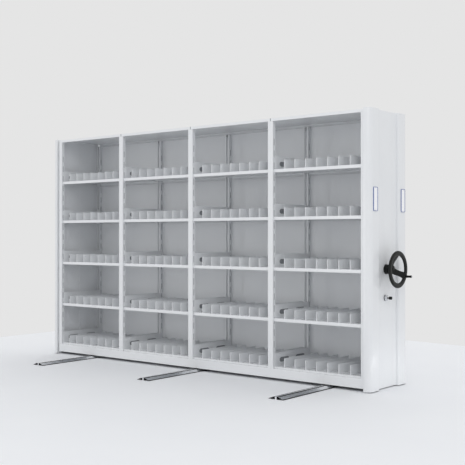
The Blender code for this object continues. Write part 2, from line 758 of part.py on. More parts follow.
def make_handwheel(axis):
    """Dished handwheel with three arms, on its shaft with the upper sprocket."""
    half_out, half_along = RIM_RADIAL / 2, RIM_AXIAL / 2
    unit = circle(1.0, RIM_SECTION_SIDES)
    section = [(RIM_R + half_out * across, RIM_X - half_along * up) for across, up in unit]
    bore = clear_of(SHAFT_R + FIT, ROUND_SIDES)
    hub_end = HUB_X + HUB_L
    hub = [(bore, HUB_X), (HUB_R - HUB_EDGE, HUB_X), (HUB_R, HUB_X + HUB_EDGE), (HUB_R, hub_end - HUB_EDGE),
           (HUB_R - HUB_EDGE, hub_end), (bore, hub_end)]
    wheel = grouped([turned(section, RIM_SIDES), turned(hub, ROUND_SIDES)])
    arms = grouped([handwheel_arm(number) for number in range(ARM_COUNT)])
    wheel = combined(wheel, arms, "UNION")
    shaft_hole = rod(bore, HUB_X - OVERCUT, hub_end + OVERCUT, ROUND_SIDES)
    wheel = combined(wheel, shaft_hole, "DIFFERENCE")
    hole_r = clear_of(GRIP_BOLT_R + FIT, GRIP_SIDES)
    hole = rod(hole_r, RIM_FACE_X - GRIP_BOLT_DEPTH - FIT, RIM_FACE_X + OVERCUT, GRIP_SIDES)
    wheel = combined(wheel, moved(hole, (0.0, *grip_place())), "DIFFERENCE")
    place("handwheel", wheel, "black plastic", axis)
    shaft = rod(SHAFT_R, PANEL_X - SHAFT_TAIL, hub_end - SHAFT_HUB_INSET)
    place("handwheel_shaft", shaft, "bright steel", axis)
    place("upper_sprocket", sprocket(UPPER_SPROCKET_R, UPPER_TEETH, SHAFT_R), "bright steel", axis)


def grip_place():
    """Where the crank grip stands on the rim, from the handwheel's axis."""
    return GRIP_PLACE_R * math.cos(GRIP_TURN), GRIP_PLACE_R * math.sin(GRIP_TURN)


def make_grip(wheel_axis, grip_axis):
    """A grip that turns on a headed bolt in the rim."""
    start = RIM_FACE_X + FIT
    end = start + GRIP_L
    bore = clear_of(GRIP_BOLT_R + RUN, GRIP_SIDES)
    waist = GRIP_R - GRIP_WAIST
    profile = [(bore, end), (GRIP_R - GRIP_EDGE, end), (GRIP_R, end - GRIP_EDGE), (waist, start + GRIP_L / 4),
               (waist, start), (bore, start)]
    place("crank_grip", turned(profile, GRIP_SIDES), "black plastic", grip_axis)
    head = end + FIT
    top, foot = head + GRIP_HEAD_L, RIM_FACE_X - GRIP_BOLT_DEPTH
    bolt = [(0.0, top), (GRIP_HEAD_R, top), (GRIP_HEAD_R, head), (GRIP_BOLT_R, head), (GRIP_BOLT_R, foot),
            (0.0, foot)]
    place("grip_bolt", turned(bolt, GRIP_SIDES), "bright steel", wheel_axis, (0.0, *grip_place()))


def make_housing(carriage):
    """The round bearing housing on the recess that the handwheel's shaft comes out of."""
    start = RECESS_X + FIT
    end = start + HOUSING_L
    bore = clear_of(SHAFT_R + RUN, ROUND_SIDES)
    profile = [(bore, start), (HOUSING_R, start), (HOUSING_R, end - HOUSING_EDGE),
               (HOUSING_R - HOUSING_EDGE, end), (bore, end)]
    place("shaft_housing", turned(profile, ROUND_SIDES), "black plastic", carriage, (0.0, 0.0, HANDWHEEL_Z))


def make_lock(carriage, axis):
    """The lock's barrel in the recess, and the plug that turns in it with its key."""
    bore = clear_of(LOCK_PLUG_R + RUN, LOCK_SIDES)
    face = RECESS_X + FIT
    front, tail = RECESS_X + LOCK_PROUD, RECESS_X - LOCK_TAIL_L
    profile = [(bore, tail), (LOCK_TAIL_R, tail), (LOCK_TAIL_R, face), (LOCK_R, face),
               (LOCK_R, front - LOCK_EDGE), (LOCK_R - LOCK_EDGE, front), (bore, front)]
    place("lock_barrel", turned(profile, LOCK_SIDES), "chrome", carriage, (0.0, LOCK_Y, LOCK_Z))
    plug = rod(LOCK_PLUG_R, tail, front)
    bow_start = front + KEY_SHANK_L
    bow_end = bow_start + KEY_BOW_L
    shank = box((front - KEY_SHANK_L, -KEY_T / 2 + WELD, -KEY_SHANK_H / 2),
                (bow_start + KEY_SHANK_L, KEY_T / 2 - WELD, KEY_SHANK_H / 2))
    cut, tall = KEY_BOW_EDGE, KEY_BOW_H / 2
    bow = [(bow_start, -tall + cut), (bow_start + cut, -tall), (bow_end - cut, -tall), (bow_end, -tall + cut),
           (bow_end, tall - cut), (bow_end - cut, tall), (bow_start + cut, tall), (bow_start, tall - cut)]
    plug = combined(plug, shank, "UNION")
    plug = combined(plug, outline_solid([bow], -KEY_T / 2, KEY_T / 2, ALONG_Y), "UNION")
    place("lock_key", plug, "black plastic", axis)


def main():
    """Build the rails, then the carriage and what turns on it."""
    make_rails()
    carriage = axis_empty("carriage_slide", (BODY_X, 0.0, 0.0))
    make_base(carriage)
    make_uprights(carriage)
    make_shelves(carriage)
    make_covers(carriage)
    make_end_panels(carriage)
    make_label_holders(carriage)
    make_housing(carriage)
    make_chain(carriage)
    axle = axis_empty("drive_axle_spin", (0.0, AXLE_Y, AXLE_Z), carriage)
    idle_axes = {}
    for name, side in RAIL_PLACES.items():
        idle_axes[name] = axis_empty(f"idle_wheel_{name}_spin", (rail_x(side), -AXLE_Y, AXLE_Z), carriage)
    make_axle(axle)
    make_wheels(axle, idle_axes)
    wheel_axis = axis_empty("handwheel_spin", (0.0, 0.0, HANDWHEEL_Z), carriage)
    make_handwheel(wheel_axis)
    make_grip(wheel_axis, axis_empty("crank_grip_spin", (0.0, *grip_place()), wheel_axis))
    make_lock(carriage, axis_empty("lock_turn", (0.0, LOCK_Y, LOCK_Z), carriage))


for item in list(bpy.data.objects):
    bpy.data.objects.remove(item)
PARTS = new_group("compact mobile shelving")
CUTTERS = new_group("cutters")
main()
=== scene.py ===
"""Compact mobile shelving: surfaces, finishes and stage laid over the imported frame, in metres."""
import math

import bmesh
import bpy
import numpy as np
from bpy.props import FloatProperty, FloatVectorProperty, IntProperty, PointerProperty
from mathutils import Matrix, Vector


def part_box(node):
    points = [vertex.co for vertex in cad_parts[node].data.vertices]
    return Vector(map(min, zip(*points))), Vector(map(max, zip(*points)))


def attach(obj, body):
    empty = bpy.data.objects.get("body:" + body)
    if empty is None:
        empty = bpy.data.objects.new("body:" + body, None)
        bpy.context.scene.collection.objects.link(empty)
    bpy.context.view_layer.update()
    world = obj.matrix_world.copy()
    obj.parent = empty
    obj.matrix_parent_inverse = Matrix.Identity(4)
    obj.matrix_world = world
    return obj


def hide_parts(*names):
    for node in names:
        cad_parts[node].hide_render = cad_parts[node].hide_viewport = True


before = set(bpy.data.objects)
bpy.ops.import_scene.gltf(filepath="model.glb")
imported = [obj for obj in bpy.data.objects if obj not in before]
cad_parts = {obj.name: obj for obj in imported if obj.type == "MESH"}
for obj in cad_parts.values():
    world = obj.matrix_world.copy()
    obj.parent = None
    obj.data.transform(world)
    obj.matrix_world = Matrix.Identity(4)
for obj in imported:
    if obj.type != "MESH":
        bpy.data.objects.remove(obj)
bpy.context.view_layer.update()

bl_info = {
    "name": "Compact Mobile Shelving",
    "version": (1, 0, 0),
    "blender": (4, 5, 0),
    "location": "3D View > Sidebar > Shelving",
    "description": "Dresses a compact mobile shelving unit with its surfaces, finishes and stage",
    "category": "Add Mesh",
}

FIT = 0.0003            # gap that the frame leaves between pieces that touch
HAIR = 0.0001           # gap that trim keeps from what it lies on
PLAY = 0.0004           # gap round a shank or shaft in its bore
MERGE = 1e-6            # points closer than this are one point
BAYS = range(1, 5)      # bays, counted from the plain end
FOLD_STEPS = 4          # faces round the fold at the top of a panel
CHAIN_PITCH = 0.0127    # half-inch roller chain
NOISE_SPAN = {"From Min": 0.3, "From Max": 0.7}     # most of a noise lies between these

FLOOR_LEVEL = -0.0005   # a little under the rails, so that their faces do not meet
CAMERA_PLACE = (5.234, -6.2216, 1.2105)
CAMERA_TILT = math.radians(90.248)
CAMERA_TURN = math.radians(38.955)
# Each lamp's width and height, its place and the point that it faces.
LAMPS = {
    "key": ((0.6, 3.2), (-1.75, -6.5, 1.7), (1.2, 0.0, 1.7)),
    "fill": ((2.5, 2.5), (5.8, -6.2, 6.0), (1.2, 0.0, 1.1)),
    "foot": ((0.8, 0.1), (2.15, 0.0, 0.16), (1.8, 0.0, 0.16)),
    "top": ((8.0, 8.0), (-1.0, 3.0, 7.5), (-1.0, 3.0, 0.0)),
}


def linear(hex_colour):
    """Linear RGB of an sRGB hex colour."""
    parts = np.array([int(hex_colour[place:place + 2], 16) / 255.0 for place in (1, 3, 5)])
    bent = np.where(parts <= 0.04045, parts / 12.92, ((parts + 0.055) / 1.055) ** 2.4)
    return tuple(float(part) for part in bent)


def corners(node):
    """Lowest and highest corner of a frame node at rest."""
    low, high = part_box(node)
    return np.array(low), np.array(high)


def round_node(node):
    """Corners of a frame node that is round about X, its middle line, and its radius by its height."""
    low, high = corners(node)
    middle = (low + high) / 2
    return low, high, (0.0, middle[1], middle[2]), (high[2] - low[2]) / 2


def named(start):
    """Frame nodes whose names begin alike, in order."""
    return sorted(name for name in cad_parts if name.startswith(start))


def shelves(bay):
    """Corners of each shelf of a bay, from the lowest up."""
    return [corners(name) for name in named(f"shelf_bay_{bay}_")]


def length(name, description, default):
    """A length that a user may change."""
    return FloatProperty(name=name, description=description, default=default, min=0.0,
                         unit="LENGTH", precision=4)


def power(name, description, default):
    """A lamp's power that a user may change."""
    return FloatProperty(name=name, description=description, default=default, min=0.0, unit="POWER")


def colour(name, description, hex_colour):
    """A colour that a user may change, given as sRGB hex."""
    return FloatVectorProperty(name=name, description=description, default=linear(hex_colour),
                               subtype="COLOR", size=3, min=0.0, max=1.0)


class ShelvingPanelSizes(bpy.types.PropertyGroup):
    """Folds of the two end panels."""

    sheet: length("Sheet", "Thickness of the panels' sheet steel", 0.0012)
    pillar_edge: length("Pillar edge", "Radius of the outer edge of each pillar", 0.046)
    fall_width: length("Fall width", "Width of the curve from a pillar's flat down to its wall", 0.017)
    fall_depth: length("Fall depth", "Depth of the curve from a pillar's flat down to its wall", 0.017)
    recess_width: length("Recess width", "Width of the recess between the pillars", 0.300)
    recess_depth: length("Recess depth", "Depth of the recess behind the pillars", 0.0315)
    sweep_width: length("Sweep width", "Width of the curve from a pillar's wall out to the recess", 0.046)
    sweep_depth: length("Sweep depth", "Depth of the curve from a pillar's wall out to the recess", 0.013)
    plain_edge: length("Plain panel edge", "Radius of the plain end panel's edges", 0.020)
    plain_lap: length("Plain panel lap", "How far the folds on the end posts reach in from the edge", 0.2995)
    plain_gap: length("Plain panel gap", "Width of the shadow gap along the end posts", 0.010)
    gap_depth: length("Gap depth", "Depth of the shadow gap along the end posts", 0.040)
    drive_lap: length("Drive panel lap", "How far the drive panel's sides reach over the end posts", 0.010)
    top_fold: length("Top fold", "Radius of the fold round the top of both panels", 0.003)
    shaft_hole: length("Shaft hole", "Radius of the hole for the handwheel shaft", 0.012)
    lock_hole: length("Lock hole", "Radius of the hole for the lock's tail", 0.0132)


class ShelvingWheelSizes(bpy.types.PropertyGroup):
    """Handwheel and its grip."""

    rim_radial: length("Rim width", "Rim across its face", 0.040)
    rim_axial: length("Rim depth", "Rim along the shaft", 0.020)
    hub_radius: length("Hub radius", "Radius of the hub", 0.036)
    hub_length: length("Hub length", "Hub along the shaft", 0.028)
    arm_waist: length("Arm waist", "Width of an arm at its narrowest", 0.044)
    arm_at_hub: length("Arm at hub", "Width of an arm where it leaves the hub", 0.060)
    arm_at_rim: length("Arm at rim", "Width of an arm where it meets the rim", 0.086)
    arm_thickness: length("Arm thickness", "Thickness of an arm", 0.011)
    arm_count: IntProperty(name="Arms", description="Number of arms", default=3, min=2, max=6)
    arm_turn: FloatProperty(name="First arm", description="Turn of the first arm from the rear",
                            default=math.radians(93.0), subtype="ANGLE")
    grip_waist: length("Grip waist", "How much the grip narrows at its middle", 0.0015)


class ShelvingFittingSizes(bpy.types.PropertyGroup):
    """Label holders, and the trim of the posts, shelves and covers."""

    label_rim: length("Label rim", "Width of the label holder's rim", 0.0026)
    label_corner: length("Label corner", "Radius of the label holder's corners", 0.009)
    card: length("Card", "Thickness of the blank card", 0.0008)
    post_depth: length("Post depth", "Depth of an upright post", 0.035)
    post_lip: length("Post lip", "Width of the two lips along a post's open side", 0.014)
    post_sheet: length("Post sheet", "Thickness of a post's sheet", 0.0015)
    strip_tuck: length("Strip tuck", "How far a post's closing strip reaches behind each lip", 0.004)
    strip_dish: length("Strip dish", "How far that strip is dished into the post", 0.020)
    strip_sheet: length("Strip sheet", "Thickness of that strip", 0.001)
    strip_foot: length("Strip foot", "How far that strip starts above the post's foot", 0.006)
    strip_short: length("Strip short", "How far that strip ends below the post's top", 0.025)
    slot_pitch: length("Slot pitch", "Spacing of the hook slots up a post", 0.100)
    slot_height: length("Slot height", "Height of a hook slot", 0.058)
    slot_width: length("Slot width", "Width of a hook slot", 0.006)
    slot_proud: length("Slot lip", "Burr of a punched slot over the post's face", 0.0002)
    hand_length: length("Hand slot length", "Length of a hand slot in a bracket plate", 0.142)
    hand_height: length("Hand slot height", "Height of a hand slot in a bracket plate", 0.040)
    hand_place: length("Hand slot place", "Middle of a hand slot, from the middle of the depth", 0.118)
    hand_drop: length("Hand slot drop", "Middle of a hand slot, down from the plate's top edge", 0.062)
    hem_width: length("Hem width", "Width of the rolled hem along the top of a divider", 0.0044)
    hem_height: length("Hem height", "Height of that hem", 0.0040)
    hem_drop: length("Hem drop", "Top of a divider, down from the top of the bracket plates", 0.036)
    hem_start: length("Hem start", "Front end of a hem, behind the front of its shelf", 0.003)
    hem_length: length("Hem length", "Length of a hem along the depth", 0.498)
    divider_sheet: length("Divider sheet", "Thickness of a divider", 0.0012)
    divider_count: IntProperty(name="Dividers", description="Number of dividers on a shelf", default=7,
                               min=1, max=20)
    seal_width: length("Seal width", "Width of the strip over the joint of two covers", 0.007)
    seal_proud: length("Seal height", "How far that strip stands over the covers", 0.0006)


class ShelvingFinishes(bpy.types.PropertyGroup):
    """Colours of the finishes."""

    paint: colour("Paint", "Powder coat of the sheet steel", "#eaecee")
    paint_shade: colour("Paint shade", "Thin patches of the powder coat", "#e6e8eb")
    plastic: colour("Black plastic", "Moulded handwheel, grip, housing and key", "#141615")
    plastic_shade: colour("Black plastic shade", "Handled patches of the moulded plastic", "#1a1c1b")
    zinc: colour("Zinc", "Plated steel of the floor rails", "#f2f3f5")
    zinc_shade: colour("Zinc shade", "Dulled streaks of the plating", "#dfe1e4")
    # Painted shade on the rails: it darkens their grooves, the edge of their foot where it meets the floor
    # and their sawn front ends.
    painted_rail_shade: colour("Grease", "Dark film in the grooves, along the foot and on the ends of rails", "#1c1d1d")
    chrome: colour("Chrome", "Plate on the lock", "#f6f7f9")
    chrome_shade: colour("Chrome shade", "Turning marks under the plate", "#c4c7cb")
    steel: colour("Bright steel", "Drawn steel of the shafts", "#a9abad")
    steel_shade: colour("Bright steel shade", "Draw lines of the shafts", "#8b8d90")
    iron: colour("Cast iron", "Turned iron of the wheels", "#5d5f61")
    iron_shade: colour("Cast iron shade", "Pores of the iron", "#46484a")
    label: colour("Label plastic", "Moulded rim of the label holders", "#4c64a6")
    label_shade: colour("Label plastic shade", "Thicker places of the label plastic", "#435b9c")
    card: colour("Card", "Blank card in the label holders", "#fdfdff")
    card_shade: colour("Card shade", "Fibres of the card", "#f8f9fb")
    slot: colour("Slot", "Shaded inside of a punched slot", "#9a9da1")
    slot_shade: colour("Slot shade", "Deepest shade in a punched slot", "#8e9195")
    # The hollow colours are painted shade: the grey sheet behind each hand slot stands for the shade between
    # the plates.
    shaded_hollow: colour("Hollow", "Backing seen through the hand slots", "#8c8f93")
    shaded_hollow_shade: colour("Hollow shade", "Dull patches of that backing", "#84878b")


class ShelvingStage(bpy.types.PropertyGroup):
    """Floor, background, light and camera."""

    wall: colour("Background", "Plain background that the camera sees", "#e5e5e5")
    floor: colour("Floor", "Pale floor", "#f3f5f8")
    floor_shade: colour("Floor shade", "Cloudier patches of the floor", "#eff1f5")
    sky: FloatProperty(name="Soft light", description="Strength of the light from all round",
                       default=0.82, min=0.0)
    key: power("Key lamp", "Power of the lamp before the shelving", 14.0)
    fill: power("Fill lamp", "Power of the lamp over the camera", 70.0)
    top: power("Top lamp", "Power of the lamp over the floor", 80.0)
    foot: power("Foot lamp", "Power of the lamp at the foot of the drive end", 0.35)
    lens: FloatProperty(name="Lens", description="Focal length of the camera, in millimetres",
                        default=68.03, min=1.0)


def add_node(tree, kind, settings=None):
    """Adds a node with its settings, and its inputs by name or number: another node's output is linked."""
    node = tree.nodes.new(kind)
    for key, value in (settings or {}).items():
        if isinstance(key, str) and key not in node.inputs:
            setattr(node, key, value)
        elif isinstance(value, bpy.types.NodeSocket):
            tree.links.new(value, node.inputs[key])
        else:
            node.inputs[key].default_value = value
    return node


def rgba(shade):
    """A colour with full alpha, for a node's socket."""
    return (*shade, 1.0)


def new_finish(name, roughness, metallic=0.0, specular=0.5):
    """An empty finish: its material, its node tree, its shader and the object coordinates."""
    made = bpy.data.materials.new(name)
    made.use_nodes = True
    tree = made.node_tree
    shader = tree.nodes["Principled BSDF"]
    shader.inputs["Roughness"].default_value = roughness
    shader.inputs["Metallic"].default_value = metallic
    shader.inputs["Specular IOR Level"].default_value = specular
    place = add_node(tree, "ShaderNodeTexCoord").outputs["Object"]
    return made, tree, shader, place


def grained(name, shades, roughness, grain, bump, cloud,
            metallic=0.0, stretch=(1.0, 1.0, 1.0), specular=0.5):
    """A finish with a cloudy change of colour, a grain in the roughness and the same grain as relief.

    The grain and the cloud are sizes in metres. Stretch draws both out along an axis where it is under one.
    """
    made, tree, shader, place = new_finish(name, roughness[0], metallic, specular)
    drawn = add_node(tree, "ShaderNodeMapping", {"Scale": stretch, "Vector": place}).outputs["Vector"]
    clouds, grains = (
        add_node(tree, "ShaderNodeTexNoise", {"Scale": 1.0 / size, "Detail": detail, "Roughness": rough,
                                              "Vector": drawn}).outputs["Fac"]
        for size, detail, rough in ((cloud, 3.0, 0.55), (grain, 2.0, 0.5)))
    spread = add_node(tree, "ShaderNodeMapRange", {**NOISE_SPAN, "Value": clouds}).outputs["Result"]
    tint = add_node(tree, "ShaderNodeMix",
                    {"data_type": "RGBA", 0: spread, 6: rgba(shades[0]), 7: rgba(shades[1])})
    gloss = add_node(tree, "ShaderNodeMapRange",
                     {**NOISE_SPAN, "To Min": roughness[0], "To Max": roughness[1], "Value": grains})
    relief = add_node(tree, "ShaderNodeBump", {"Strength": bump[0], "Distance": bump[1], "Height": grains})
    tree.links.new(tint.outputs[2], shader.inputs["Base Color"])
    tree.links.new(gloss.outputs["Result"], shader.inputs["Roughness"])
    tree.links.new(relief.outputs["Normal"], shader.inputs["Normal"])
    return made


# Each finish has the name of its material, the range of its roughness, the size of its grain, the strength
# and depth of its relief, the size of its clouds, and what else sets it apart. Its two colours are in
# ShelvingFinishes.
FINISHES = {
    # Sprayed and baked: an even cool white with a broad soft sheen. Its orange peel is 2 mm across on the
    # real sheet and is drawn at 8 mm, because a finer ripple is lost at this distance.
    "paint": ("powder-coated sheet steel", (0.18, 0.24), 0.008, (0.06, 0.0004), 0.6, {}),
    # Moulded in a spark-eroded mould: a matte near-black with a dull sheen on its rounded edges. The eroded
    # grain is 0.3 mm and is drawn at 1.5 mm. It traps light, so less comes back than from a polished face.
    "plastic": ("moulded black polyamide", (0.32, 0.44), 0.0015, (0.12, 0.0002), 0.06, {"specular": 0.2}),
    # Rolled along the rail: a bright grey metal with soft streaks, as wheels and rolling leave them. The
    # rolling lines are under 1 mm apart and are drawn at 4 mm.
    "zinc": ("zinc-plated rolled steel", (0.22, 0.34), 0.004, (0.08, 0.0002), 0.05,
             {"metallic": 1.0, "stretch": (1.0, 0.03, 1.0)}),
    # Plated on turned brass and polished: a bright mirror with faint marks that break its reflections. The
    # marks of turning are about 0.1 mm apart and are drawn at 1.5 mm.
    "chrome": ("polished chromium plate", (0.10, 0.18), 0.0015, (0.03, 0.0001), 0.02, {"metallic": 1.0}),
    # Drawn cold through a die: a clear grey metal with fine lines along the bar. The lines are about 0.1 mm
    # apart and are drawn at 1.2 mm.
    "steel": ("cold-drawn bright steel", (0.25, 0.4), 0.0012, (0.06, 0.0001), 0.02,
              {"metallic": 1.0, "stretch": (0.02, 1.0, 1.0)}),
    # Cast in sand and turned: a dull dark metal with small pores. The pores are under 1 mm and are drawn at
    # 2.5 mm.
    "iron": ("turned grey cast iron", (0.45, 0.62), 0.0025, (0.2, 0.0003), 0.02, {"metallic": 1.0}),
    # Moulded with a satin face: a muted blue with a soft gloss along its thin rim. The satin grain is 0.2 mm
    # and is drawn at 1 mm.
    "label": ("moulded blue polystyrene", (0.34, 0.44), 0.001, (0.05, 0.0001), 0.05, {}),
    # Cut and left blank: a flat bright white with no gloss and a trace of fibre. The fibres are finer than
    # 0.1 mm and are drawn at 2 mm.
    "card": ("uncoated white card", (0.82, 0.92), 0.002, (0.05, 0.0001), 0.03, {}),
    # Painted shade: the soft dark grey of powder coat that little light reaches, laid on as a thin patch so
    # that it reads as a hole at this size. Its orange peel of 2 mm is drawn at 4 mm.
    "slot": ("shaded punched slot", (0.75, 0.9), 0.004, (0.05, 0.0001), 0.05, {}),
    # Painted shade: a matte mid grey sheet behind a plate stands for the shade in the space behind it, so
    # that a hand slot reads as an opening. Its grain is under 1 mm and is drawn at 6 mm.
    "shaded_hollow": ("grey primed sheet", (0.7, 0.85), 0.006, (0.05, 0.0001), 0.05, {}),
}
MADE = {}


def finish(key):
    """The material of a finish, made the first time that it is asked for."""
    if key not in MADE:
        shades = bpy.context.scene.shelving_finishes
        name, roughness, grain, bump, cloud, extras = FINISHES[key]
        pair = (getattr(shades, key), getattr(shades, f"{key}_shade"))
        MADE[key] = grained(name, pair, roughness, grain, bump, cloud, **extras)
        # The rails get painted shade in their grooves, along their foot and on their sawn ends.
        if key == "zinc":
            add_painted_rail_shade(MADE[key], shades.painted_rail_shade)
    return MADE[key]


def add_painted_rail_shade(made, shade):
    """Paints shade into a rail's grooves, along its foot at the floor and on its sawn front end beside the
    bar.

    The painted shade goes by the distance from the rail's middle. The rails stand one pitch apart, so that
    distance is wrapped at the pitch.
    """
    groove_start, groove_end = 0.008, 0.024
    foot_shade_width, sawn_shade_depth = 0.010, 0.0015
    low, high = corners("rail_middle")
    pitch = float(corners("rail_right")[0][0] - low[0])
    middle = float(low[0] + high[0]) / 2
    foot = float(high[0] - low[0]) / 2 - foot_shade_width
    tree = made.node_tree
    base = tree.nodes["Principled BSDF"].inputs["Base Color"]
    plain = base.links[0].from_socket
    place = add_node(tree, "ShaderNodeTexCoord").outputs["Object"]
    spread = add_node(tree, "ShaderNodeSeparateXYZ", {"Vector": place}).outputs
    kind = "ShaderNodeMath"
    near = add_node(tree, kind,
                    {"operation": "WRAP", 0: spread["X"], 1: middle + pitch / 2, 2: middle - pitch / 2})
    off = add_node(tree, kind, {"operation": "SUBTRACT", 0: near.outputs[0], 1: middle})
    off = add_node(tree, kind, {"operation": "ABSOLUTE", 0: off.outputs[0]}).outputs[0]
    groove = add_node(tree, kind, {"operation": "COMPARE", 0: off, 1: (groove_start + groove_end) / 2,
                                   2: (groove_end - groove_start) / 2})
    edge = add_node(tree, kind, {"operation": "GREATER_THAN", 0: off, 1: foot})
    front = add_node(tree, kind, {"operation": "LESS_THAN", 0: spread["Y"], 1: float(low[1]) + sawn_shade_depth})
    beside = add_node(tree, kind, {"operation": "GREATER_THAN", 0: off, 1: groove_start})
    sawn = add_node(tree, kind, {"operation": "MULTIPLY", 0: front.outputs[0], 1: beside.outputs[0]})
    painted_shade = add_node(tree, kind, {"operation": "MAXIMUM", 0: groove.outputs[0], 1: edge.outputs[0]})
    painted_shade = add_node(tree, kind, {"operation": "MAXIMUM", 0: painted_shade.outputs[0], 1: sawn.outputs[0]})
    tint = add_node(tree, "ShaderNodeMix",
                    {"data_type": "RGBA", 0: painted_shade.outputs[0], 6: plain, 7: rgba(shade)})
    tree.links.new(tint.outputs[2], base)


def grid(points, wrap_rows=False, wrap_columns=False, caps=False):
    """Vertices and faces of a grid of points: a quad between each four neighbours.

    Wrapping joins the last row or column to the first, and caps fill the first and last rows.
    """
    rows, columns = points.shape[:2]
    index = np.arange(rows * columns).reshape(rows, columns)
    ends = [index[0, ::-1].tolist(), index[-1].tolist()] if caps else []
    if wrap_rows:
        index = np.vstack([index, index[:1]])
    if wrap_columns:
        index = np.hstack([index, index[:, :1]])
    quads = np.stack([index[:-1, :-1], index[:-1, 1:], index[1:, 1:], index[1:, :-1]], axis=-1)
    return points.reshape(-1, 3), quads.reshape(-1, 4).tolist() + ends


def joined(*shapes):
    """One list of vertices and faces from several."""
    starts = np.cumsum([0] + [len(points) for points, loops in shapes]).tolist()
    faces = []
    for start, (points, loops) in zip(starts, shapes):
        faces += [[corner + start for corner in loop] for loop in loops]
    return np.concatenate([points for points, loops in shapes]), faces


def lathe(profile, sides, centre, wrapped=False):
    """A profile of (x, radius) points turned about a line along X through centre.

    y and z are the radius times the cosine and sine of the turn. A wrapped profile is a closed ring, and any
    other one starts and ends on the line.
    """
    profile = np.asarray(profile, dtype=float)
    turn = np.linspace(0.0, math.tau, sides, endpoint=False)
    along = np.broadcast_to(profile[:, 0:1], (len(profile), sides))
    points = np.stack([along, profile[:, 1:] * np.cos(turn), profile[:, 1:] * np.sin(turn)], axis=-1)
    return grid(points + np.asarray(centre), wrap_rows=wrapped, wrap_columns=True)


def stepped(x, radius, steps):
    """Points of a turned profile: millimetres along X and outwards from a corner at x and radius."""
    return [(x + along / 1000, radius + out / 1000) for along, out in steps]


def lofted(outlines, places, axis=0):
    """A closed skin over flat outlines of equal count.

    Each outline gets its place as the coordinate along the axis. They are joined in turn, and the first and
    the last are filled.
    """
    points = np.insert(np.asarray(outlines), axis, np.asarray(places)[:, None], axis=-1)
    return grid(points, wrap_columns=True, caps=True)


def arc(centre, reach, start, end, steps):
    """Points on a circle or an ellipse in a plane, from one angle in degrees to another.

    Reach is the radius, or a half width for each axis, times the angle's cosine and sine.
    """
    turn = np.radians(np.linspace(start, end, steps + 1))
    return np.asarray(centre) + np.asarray(reach) * np.stack([np.cos(turn), np.sin(turn)], axis=-1)


def rounded_rectangle(half_width, half_height, radius, steps, outset=0.0):
    """A rectangle with round corners, anticlockwise.

    Each corner is a quarter circle about its own centre, and an outset adds to the radius alone.
    """
    quarters = np.array([0.0, 90.0, 180.0, 270.0])[:, None]
    turn = np.radians(np.linspace(0.0, 90.0, steps + 1)[None, :] + quarters)
    middle = np.array([[1, 1], [-1, 1], [-1, -1], [1, -1]]) * (half_width - radius, half_height - radius)
    reach = (radius + outset) * np.stack([np.cos(turn), np.sin(turn)], axis=-1)
    return (middle[:, None, :] + reach).reshape(-1, 2)


def squared_oval(count, powers):
    """Cosine and sine of even turns, each raised to a power under one, which squares the oval off."""
    around = np.linspace(0.0, math.tau, count, endpoint=False)
    oval = np.stack([np.cos(around), np.sin(around)])
    return np.sign(oval) * np.abs(oval) ** np.array(powers)[:, None]


def piece(name, shape, body, finish_name, replaced=(), sharp=35.0):
    """A finished piece: its mesh, merged and turned outwards, rides on a body of the frame."""
    points, faces = shape
    mesh = bpy.data.meshes.new(name)
    mesh.from_pydata(np.asarray(points).tolist(), [], faces)
    shell = bmesh.new()
    shell.from_mesh(mesh)
    bmesh.ops.remove_doubles(shell, verts=shell.verts, dist=MERGE)
    bmesh.ops.recalc_face_normals(shell, faces=shell.faces)
    shell.to_mesh(mesh)
    shell.free()
    mesh.shade_smooth()
    mesh.set_sharp_from_angle(angle=math.radians(sharp))
    made = bpy.data.objects.new(name, mesh)
    bpy.context.scene.collection.objects.link(made)
    mesh.materials.append(finish(finish_name))
    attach(made, body)
    if replaced:
        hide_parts(*replaced)
    return made


def bored(target, cutters):
    """Cuts closed shapes out of a piece and keeps the result as its mesh."""
    points, faces = joined(*cutters)
    mesh = bpy.data.meshes.new("bore")
    mesh.from_pydata(points.tolist(), [], faces)
    cutter = bpy.data.objects.new("bore", mesh)
    bpy.context.scene.collection.objects.link(cutter)
    cut = target.modifiers.new("bore", "BOOLEAN")
    cut.object = cutter
    cut.solver = "EXACT"
    graph = bpy.context.evaluated_depsgraph_get()
    result = bpy.data.meshes.new_from_object(target.evaluated_get(graph))
    target.modifiers.clear()
    target.data = result
    bpy.data.objects.remove(cutter)
    bpy.data.meshes.remove(mesh)


def paint_nodes(names, finish_name):
    """Gives frame nodes that keep their shape a finish."""
    for name in names:
        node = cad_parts[name]
        node.data.materials.clear()
        node.data.materials.append(finish(finish_name))


def folded_panel(plan, low, high, sizes):
    """A panel folded from sheet, open below and at its mouth, from its outline at a depth under the face.

    The rows run from the ceiling down the inside, under the bottom edge and up the outside, where the last
    rows follow a quarter circle over the top fold. A face closes the top, the ceiling, the two mouth edges
    and the edge over the mouth.
    """
    sheet, fold = sizes.sheet, sizes.top_fold
    bend = np.radians(np.linspace(0.0, 90.0, FOLD_STEPS + 1))
    insets = np.concatenate([[sheet, sheet, 0.0], fold * (1.0 - np.cos(bend))])
    heights = np.concatenate([[high - sheet, low, low], high - fold + fold * np.sin(bend)])
    outlines = np.stack([plan(inset) for inset in insets])
    points, faces = grid(np.insert(outlines, 2, heights[:, None], axis=-1), caps=True)
    rows, columns = outlines.shape[:2]
    first = [row * columns for row in range(rows)]
    last = [row * columns + columns - 1 for row in range(rows)]
    faces += [first, last[::-1], [first[0], first[-1], last[-1], last[0]]]
    return points, faces


def mirrored(half):
    """An outline of (x, y) points and its mirror image across the middle of the depth."""
    return np.concatenate([half, half[::-1] * (1.0, -1.0)])


class SHELVING_OT_sheet_metal(bpy.types.Operator):
    """Coat the frames, shelves, covers, back panels and base, and plate the rails"""

    bl_idname = "shelving.sheet_metal"
    bl_label = "Sheet metal and rails"

    def execute(self, context):
        for start in ("upright_frame", "shelf_bay", "top_cover", "back_panel", "base_frame",
                      "drive_end_inner_sheet"):
            paint_nodes(named(start), "paint")
        paint_nodes(named("rail_"), "zinc")
        return {"FINISHED"}


